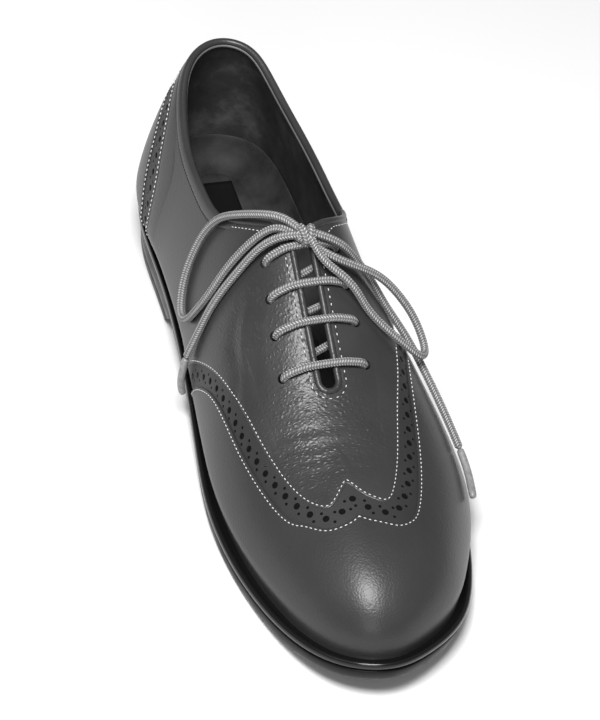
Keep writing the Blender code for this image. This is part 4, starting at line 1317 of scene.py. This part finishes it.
def edge_spot(side, x, below, lift):
    """A point beside the upper's top edge and the direction out of the leather."""
    where = float(station(x))
    top = top_rise(side, x, max(below, 0.0))
    spot = last_point(side, where, top)
    if below < 0:
        climb = spot - last_point(side, where, top - CLIMB_STEP)
        spot = spot - climb / np.linalg.norm(climb) * below
    out = outward(side, where, min(top, HIGHEST_RISE))
    return spot + out * lift, out


collar_shares = np.linspace(0, 1, COLLAR_COLUMNS) ** COLLAR_CROWDING
collar_x = FEATHER_HEEL + (BINDING_END - FEATHER_HEEL) * collar_shares
collar_round = ((-1, collar_x[::-1]), (1, collar_x[1:]))
grid = []
for side, places in collar_round:
    for x in places:
        grid.append([edge_spot(side, x, below, lift)[0] for below, lift in BINDING])
grid = np.array(grid)
first_end = np.tile(grid[:1].mean(axis=1, keepdims=True), (1, len(BINDING), 1))
last_end = np.tile(grid[-1:].mean(axis=1, keepdims=True), (1, len(BINDING), 1))
grid = np.concatenate([first_end, grid, last_end])
collar_binding = mesh_piece("collar_binding", [(grid, False, True)], hide_leather, inside=ABOVE_COLLAR)
rounded = collar_binding.modifiers.new("rounding", "SUBSURF")
rounded.levels = rounded.render_levels = 1
applied(collar_binding)
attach(collar_binding, "root")


def swept(spots, widths, sides):
    """Rings round a path of points, as a grid closed across."""
    run = np.gradient(spots, axis=0)
    run /= np.linalg.norm(run, axis=1)[:, None]
    across = np.cross(run[0], ASKEW)
    rings = []
    angles = 2 * np.pi * np.arange(sides) / sides
    for spot, forward, width in zip(spots, run, widths):
        across = across - forward * np.dot(across, forward)
        across /= np.linalg.norm(across)
        up = np.cross(forward, across)
        ring = np.outer(np.cos(angles), across) + np.outer(np.sin(angles), up)
        rings.append(spot + ring * np.reshape(width, (-1, 1)) / 2)
    return np.array(rings)


def resampled(spots, pitch):
    """Points a pitch apart on a path."""
    reach = np.concatenate([[0], np.cumsum(np.linalg.norm(np.diff(spots, axis=0), axis=1))])
    stops = np.linspace(0, reach[-1], max(int(reach[-1] / pitch), 2) + 1)
    return np.stack([np.interp(stops, reach, spots[:, i]) for i in range(3)], axis=-1)


def edge_roll(name, places_round, below, lift, step, width, sides, finish):
    """A round roll of leather along the top edge, drawn in at both ends."""
    path = [edge_spot(side, x, below, lift)[0] for side, places in places_round for x in places]
    path = resampled(np.array(path), step)
    ends = np.minimum(np.arange(len(path)), np.arange(len(path))[::-1])
    widths = width * np.sqrt(np.clip(ends / TAPER_STEPS, 0, 1))
    return mesh_piece(name, [(swept(path, widths, sides), False, True)], finish)


slit_x = np.concatenate([
    *(np.linspace(*span) for span in BEAD_SPANS),
    SLIT_END - np.linspace(BEAD_TURN, 0, BEAD_TURN_PLACES) ** 2,
])
slit_round = ((-1, slit_x), (1, slit_x[::-1]))
throat_bead = edge_roll("throat_bead", slit_round, 0.0, BEAD_LIFT, BEAD_STEP, BEAD, BEAD_SIDES,
                        hide_leather)
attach(throat_bead, "root")

rim_leather, nodes, links, shader, place = plain_finish("rim_leather", (0.1, 0.1, 0.1), 0.45)
add_bump(nodes, links, add_noise(nodes, links, place, 500.0), shader, 0.0003, 0.4)
lining_edge = edge_roll("lining_edge", collar_round, RIM_BELOW, RIM_LIFT, RIM_STEP, RIM, RIM_SIDES,
                        rim_leather)
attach(lining_edge, "root")

seam_shares = np.linspace(0, 1, COLLAR_SEAM_PLACES) ** COLLAR_SEAM_CROWDING
collar_seam_x = FEATHER_HEEL + (FACING_SEAM - FEATHER_HEEL) * seam_shares
facing_seam_x = np.linspace(FACING_SEAM, FACING_CORNER + FACING_PAST_CORNER, FACING_PLACES)
slit_seam_x = np.concatenate([
    np.linspace(FACING_CORNER + FACING_PAST_CORNER, SLIT_SEAM_STRAIGHT, SLIT_SEAM_PLACES),
    SLIT_END + SLIT_SEAM - np.linspace(SLIT_SEAM_TURN, 0, SLIT_SEAM_TURN_PLACES) ** 2,
])


def edge_run(side, places, below, lift):
    """Run of points and normals some way back from the top edge."""
    rows = [edge_spot(side, x, below, lift) for x in places]
    return np.array([row[0] for row in rows]), np.array([row[1] for row in rows])


def eased(run, reach):
    """A run with its corners rounded over some places."""
    before, after = reach // 2, reach - 1 - reach // 2
    even = np.full(reach, 1 / reach)
    eased_run = []
    for values in run:
        padded = np.pad(values, ((before, after), (0, 0)), mode="edge")
        columns = [np.convolve(padded[:, i], even, "valid") for i in range(3)]
        eased_run.append(np.stack(columns, axis=-1))
    return eased_run


collar_lift = SKIN_LIFT + STITCH_RISE
slit_lift = SKIN_LIFT + SLIT_RISE
collar_runs = [edge_run(side, collar_seam_x, COLLAR_SEAM, collar_lift) for side in (-1, 1)]
facing_runs = [edge_run(side, facing_seam_x, FACING_BACK, slit_lift) for side in (-1, 1)]
slit_runs = [edge_run(side, slit_seam_x, SLIT_SEAM, slit_lift) for side in (-1, 1)]
stitch_row("collar_stitches", collar_runs, dark_thread, pitch=COLLAR_PITCH)
stitch_row("facing_stitches", [eased(run, FACING_EASE) for run in facing_runs], white_thread)
stitch_row("slit_stitches", slit_runs, white_thread, pitch=SLIT_PITCH)
stitch_row("slit_under_stitches", slit_runs, dark_thread, pitch=SLIT_PITCH, first=0.0)

# Eyelets: eight bare holes for the lace, four on each side of the slit.  They are punched straight
# through facing and lining, with no rings in them.
EYELETS = (
    # x, half the width between the pair
    (162.4, 14.0), (148.6, 13.7), (136.9, 12.9), (124.9, 12.1),
)
EYELET = 3.8
EYELET_SHARE = 1.04
EYELET_DEPTH = 5.0


def eyelet_rise(side, x, half_width):
    """Rise of an eyelet."""
    return float(rise_at_slit(side, station(x), half_width))


def off_leather(side, rows):
    """Points off the upper from rows of (x, rise, lift)."""
    spots = []
    for x, rise, lift in rows:
        where = station(x)
        spots.append(last_point(side, where, rise) + outward(side, where, rise) * lift)
    return spots


for piece in (skin, lining):
    holes, hole_out = [], []
    for side in (-1, 1):
        for x, half_width in EYELETS:
            rise = eyelet_rise(side, x, half_width * EYELET_SHARE)
            holes.append(last_point(side, station(x), rise))
            hole_out.append(outward(side, station(x), rise))
    centres = marked_points("eyelet_centres", holes, out=hole_out, width=[EYELET * MM] * len(holes))
    punch_piece(piece, centres, 2 * EYELET_DEPTH)

# Lace: a round braided cord of grey yarn, painted lighter on the crowns of its ribs and darker in the
# grooves between them as painted highlight and shade.  It is laced straight across the slit from hole to
# hole and runs up to the next pair of holes inside the shoe.
LACE = 2.8
LACE_STEP = 0.22
LACE_SIDES = 24
BRAID_COLUMNS = 6
BRAID_PITCH = 0.95
BRAID_RELIEF = 0.06
BRAID_LEAN = 0.9
BRAID_SEAT = 0.6
BRAID_WAVE = 0.5
CORD_END_STEPS = 6
LACE_POINTS = 1600
BAR = (
    # share of the half width, lift off the upper  from the slit's side to the hole
    (0.4, 2.0), (0.6, 2.0), (0.78, 1.9), (0.9, 1.5), (1.0, 0.2), (1.03, -1.4),
)
INSIDE_LIFT = -4.0
DIAGONAL_SHARE = 0.85
DIAGONAL_SHIFT = 3.0
lace_cord, nodes, links, shader, place = plain_finish("lace_cord", (0.2, 0.2, 0.2), 0.75)
# Colour from the braid's relief: painted highlight on the rib crowns, painted shade in the grooves.
rib_shading = nodes.new("ShaderNodeAttribute")
rib_shading.attribute_name = "rib_shading"
rib_shading_tone = add_ramp(nodes, links, rib_shading.outputs["Fac"], ((0.05, 0.09), (0.4, 0.24), (0.85, 0.6)))
links.new(rib_shading_tone, shader.inputs["Base Color"])
add_bump(nodes, links, add_noise(nodes, links, place, 4000.0), shader, 0.0001, 0.5)


def braided(name, paths):
    """Braided cord along paths of points, as one piece with its painted rib highlight and groove shade
    stored on it.
    """
    points, faces, rib_shadings = [], [], []
    for path in paths:
        spots = resampled(np.asarray(path), LACE_STEP)
        rows = len(spots)
        column = np.arange(LACE_SIDES) / LACE_SIDES * BRAID_COLUMNS
        inside = column - np.floor(column)
        lean = np.where(np.floor(column) % 2 == 0, 1.0, -1.0)
        turn = np.arange(rows)[:, None] * LACE_STEP / BRAID_PITCH + lean * (inside - 0.5) * BRAID_LEAN
        wave = np.sin(2 * np.pi * turn)
        dome = 1 - (2 * inside - 1) ** 2
        ends = np.minimum(np.arange(rows), np.arange(rows)[::-1])[:, None]
        relief = 1 + BRAID_RELIEF * (dome - BRAID_SEAT + BRAID_WAVE * wave * dome)
        width = LACE * relief * np.sqrt(np.clip((ends + 1) / CORD_END_STEPS, 0, 1))
        rings = swept(spots, width, LACE_SIDES)
        number = len(points) + np.arange(rows * LACE_SIDES).reshape(rows, LACE_SIDES)
        points.extend(((rings - MIDDLE) * MM).reshape(-1, 3).tolist())
        # Painted light and shade: lighter where each rib stands highest, darker in the grooves between
        # ribs.
        rib_shadings.extend((np.clip(wave, 0, 1) * dome).ravel().tolist())
        around = np.roll(number, -1, axis=1)
        quads = np.stack([number[:-1], around[:-1], around[1:], number[1:]], axis=-1)
        faces.extend(quads.reshape(-1, 4).tolist())
        for ring, spot, turned in ((number[0], spots[0], True), (number[-1], spots[-1], False)):
            pole = len(points)
            points.append(((spot - MIDDLE) * MM).tolist())
            rib_shadings.append(0.0)
            pairs = zip(ring.tolist(), np.roll(ring, -1).tolist())
            faces.extend((b, a, pole) if turned else (a, b, pole) for a, b in pairs)
    mesh = bpy.data.meshes.new(name)
    mesh.from_pydata(points, [], faces)
    rib_shading_store = mesh.attributes.new("rib_shading", "FLOAT", "POINT")
    rib_shading_store.data.foreach_set("value", np.array(rib_shadings, np.float32))
    mesh.shade_smooth()
    mesh.materials.append(lace_cord)
    piece = bpy.data.objects.new(name, mesh)
    bpy.context.scene.collection.objects.link(piece)
    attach(piece, "root")
    return piece


route = []
for number, (x, half_width) in enumerate(EYELETS):
    for side in (1, -1):
        bar = [(x, eyelet_rise(side, x, half_width * share), lift) for share, lift in BAR]
        shift = DIAGONAL_SHIFT * side
        bar.append((x + shift, eyelet_rise(side, x + shift, half_width * DIAGONAL_SHARE), INSIDE_LIFT))
        laid = off_leather(side, bar)
        route.extend(laid[::-1] if side > 0 else laid)
lace_rows = braided("lace_rows", [through(route, LACE_POINTS)])
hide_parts("lace_bar_1", "lace_bar_2", "lace_bar_3", "lace_bar_4",
            "lace_diagonal_1", "lace_diagonal_2", "lace_diagonal_3")

# Knot of the bow: the same cord, wrapped twice round itself above the topmost bar and pulled tight.
# A short length across the middle stands for what the wraps hold.
KNOT_PLACE = np.array([126.2, 0.5, 86.6])
KNOT_DOWN = np.array([0.79, 0.0, -0.61])
KNOT_UP = np.array([0.61, 0.0, 0.79])
KNOT_ACROSS = np.array([0.0, 1.0, 0.0])
KNOT_WRAPS = (
    # offset across, half width down the slope, half height, lean
    (-0.8, 2.9, 2.1, 0.35), (1.4, 2.5, 1.9, -0.3),
)
WRAP_START = 0.2
WRAP_END = 2 * np.pi + 0.1
WRAP_POINTS = 60
WRAP_LEAN = 2
CORE_HALF = 3.6
CORE_POINTS = 30
CORE_RISE = 0.2
CORE_DROP = 0.8
CORE_SWAY = 0.8
wraps = []
for offset, half_down, half_up, lean in KNOT_WRAPS:
    turn = np.linspace(WRAP_START, WRAP_END, WRAP_POINTS)[:, None]
    ring = KNOT_DOWN * np.cos(turn) * half_down + KNOT_UP * np.sin(turn) * half_up
    wraps.append(KNOT_PLACE + ring + KNOT_ACROSS * (offset + lean * np.cos(turn) * WRAP_LEAN))
core = np.linspace(-1, 1, CORE_POINTS)[:, None]
sway = KNOT_UP * (CORE_RISE - CORE_DROP * core**2) + KNOT_DOWN * np.sin(core * 2) * CORE_SWAY
wraps.append(KNOT_PLACE + KNOT_ACROSS * core * CORE_HALF + sway)
knot_wraps = braided("knot_wraps", wraps)
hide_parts("lace_knot")

# Bow: two limp loops and two ends of the same cord, falling from the knot over the facings; the ends
# are held by tips of hard film rolled round the cord.
LACE_LOOP_OUTER = (
    # x, rise, lift off the upper
    (116.6, 0.9, 5.0), (112.5, 0.8, 5.0), (105.0, 0.655, 4.0), (98.0, 0.55, 3.0), (94.2, 0.455, 2.3),
    (94.0, 0.371, 2.0), (95.5, 0.305, 2.0), (99.0, 0.243, 2.0), (103.5, 0.212, 2.0), (108.5, 0.232, 2.0),
    (112.5, 0.297, 2.0), (115.5, 0.405, 2.0), (115.8, 0.506, 2.0), (116.4, 0.622, 2.4), (117.0, 0.745, 3.0),
    (118.6, 0.86, 3.6),
)
LACE_LOOP_INNER = (
    # x, rise, lift off the upper
    (127.0, 0.95, 4.2), (130.4, 0.87, 5.0), (132.2, 0.77, 6.0), (133.4, 0.64, 7.6), (136.5, 0.53, 8.8),
    (140.5, 0.455, 9.2), (145.5, 0.41, 8.6), (150.0, 0.4, 7.4), (153.0, 0.44, 6.2), (152.0, 0.51, 4.8),
    (148.6, 0.61, 3.2), (143.9, 0.71, 2.8), (140.6, 0.78, 4.8), (136.6, 0.85, 5.8), (131.6, 0.93, 5.4),
)
LACE_END_OUTER = (
    # x, rise, lift off the upper
    (122.2, 0.88, 5.4), (121.4, 0.757, 4.2), (121.0, 0.614, 2.2), (120.8, 0.498, 2.0), (120.6, 0.398, 2.0),
    (120.8, 0.293, 2.0), (121.2, 0.225, 2.6),
)
LACE_END_INNER = (
    # x, rise, lift off the upper
    (124.2, 0.9, 5.6), (126.0, 0.8, 5.0), (128.0, 0.68, 3.0), (130.4, 0.57, 2.2), (134.4, 0.47, 2.0),
    (141.0, 0.39, 3.2), (150.0, 0.345, 3.7), (160.0, 0.32, 3.7), (170.0, 0.3, 3.6), (179.0, 0.285, 3.6),
)
AGLET_OUTER = (
    # x, rise, lift off the upper
    (121.6, 0.185, 3.2), (123.2, 0.1, 4.4), (124.2, 0.05, 5.4),
)
AGLET_INNER = (
    # x, rise, lift off the upper
    (180.5, 0.282, 3.6), (189.0, 0.262, 3.6), (199.5, 0.245, 3.6),
)
AGLET = 3.0
AGLET_FLAT = 0.9
AGLET_POINTS = 60
AGLET_STEP = 0.5
AGLET_SIDES = 16
AGLET_ENDS = (
    # steps from an end, share of the width
    (0, 0.0), (1, 0.8), (2, 0.92), (4, 1.0),
)
BOW_POINTS = 400
BOW_PATH_STEP = 2.0
aglet_film, nodes, links, shader, place = plain_finish("aglet_film", (0.2, 0.2, 0.2), 0.3)
print_wear = add_noise(nodes, links, place, 600.0)
links.new(add_ramp(nodes, links, print_wear, ((0.3, 0.16), (0.7, 0.24))), shader.inputs["Base Color"])
links.new(add_ramp(nodes, links, print_wear, ((0.3, 0.22), (0.7, 0.4))), shader.inputs["Roughness"])


def aglet(name, side, rows, node):
    """A film tip: a tube rolled round the cord's end, drawn in a little at both ends."""
    path = resampled(through(off_leather(side, rows), AGLET_POINTS), AGLET_STEP)
    ends = np.minimum(np.arange(len(path)), np.arange(len(path))[::-1])
    width = AGLET * np.interp(ends, *np.array(AGLET_ENDS).T) * AGLET_FLAT
    tip = mesh_piece(name, [(swept(path, width, AGLET_SIDES), False, True)], aglet_film)
    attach(tip, "root")
    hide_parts(node)
    return tip


def bow_cord(name, side, rows, node, roots):
    """A free length of the lace along its route from the knot."""
    spots = [KNOT_PLACE + np.array(roots[0])] + off_leather(side, rows)
    if len(roots) > 1:
        spots.append(KNOT_PLACE + np.array(roots[1]))
    path = through(spots, BOW_POINTS)
    cord = braided(name, [path])
    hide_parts(node)
    spots = resampled(path, BOW_PATH_STEP)
    return cord


aglet_outer = aglet("aglet_tip_outer", -1, AGLET_OUTER, "aglet_outer")
aglet_inner = aglet("aglet_tip_inner", 1, AGLET_INNER, "aglet_inner")
KNOT_ROOTS = {
    # where each cord leaves the knot, from the knot's middle
    "loop_outer": ((-1.6, -1.2, 0.9), (1.5, -1.0, -0.9)),
    "loop_inner": ((1.2, 1.0, -0.8), (1.2, 1.0, 0.9)),
    "end_outer": ((0.0, -0.8, 0.4),),
    "end_inner": ((-1.4, 0.9, 0.6),),
}
bow_cord("bow_loop_outer", -1, LACE_LOOP_OUTER, "lace_loop_outer", KNOT_ROOTS["loop_outer"])
bow_cord("bow_loop_inner", 1, LACE_LOOP_INNER, "lace_loop_inner", KNOT_ROOTS["loop_inner"])
bow_cord("bow_end_outer", -1, LACE_END_OUTER + AGLET_OUTER[:1], "lace_end_outer",
         KNOT_ROOTS["end_outer"])
bow_cord("bow_end_inner", 1, LACE_END_INNER + AGLET_INNER[:1], "lace_end_inner",
         KNOT_ROOTS["end_inner"])
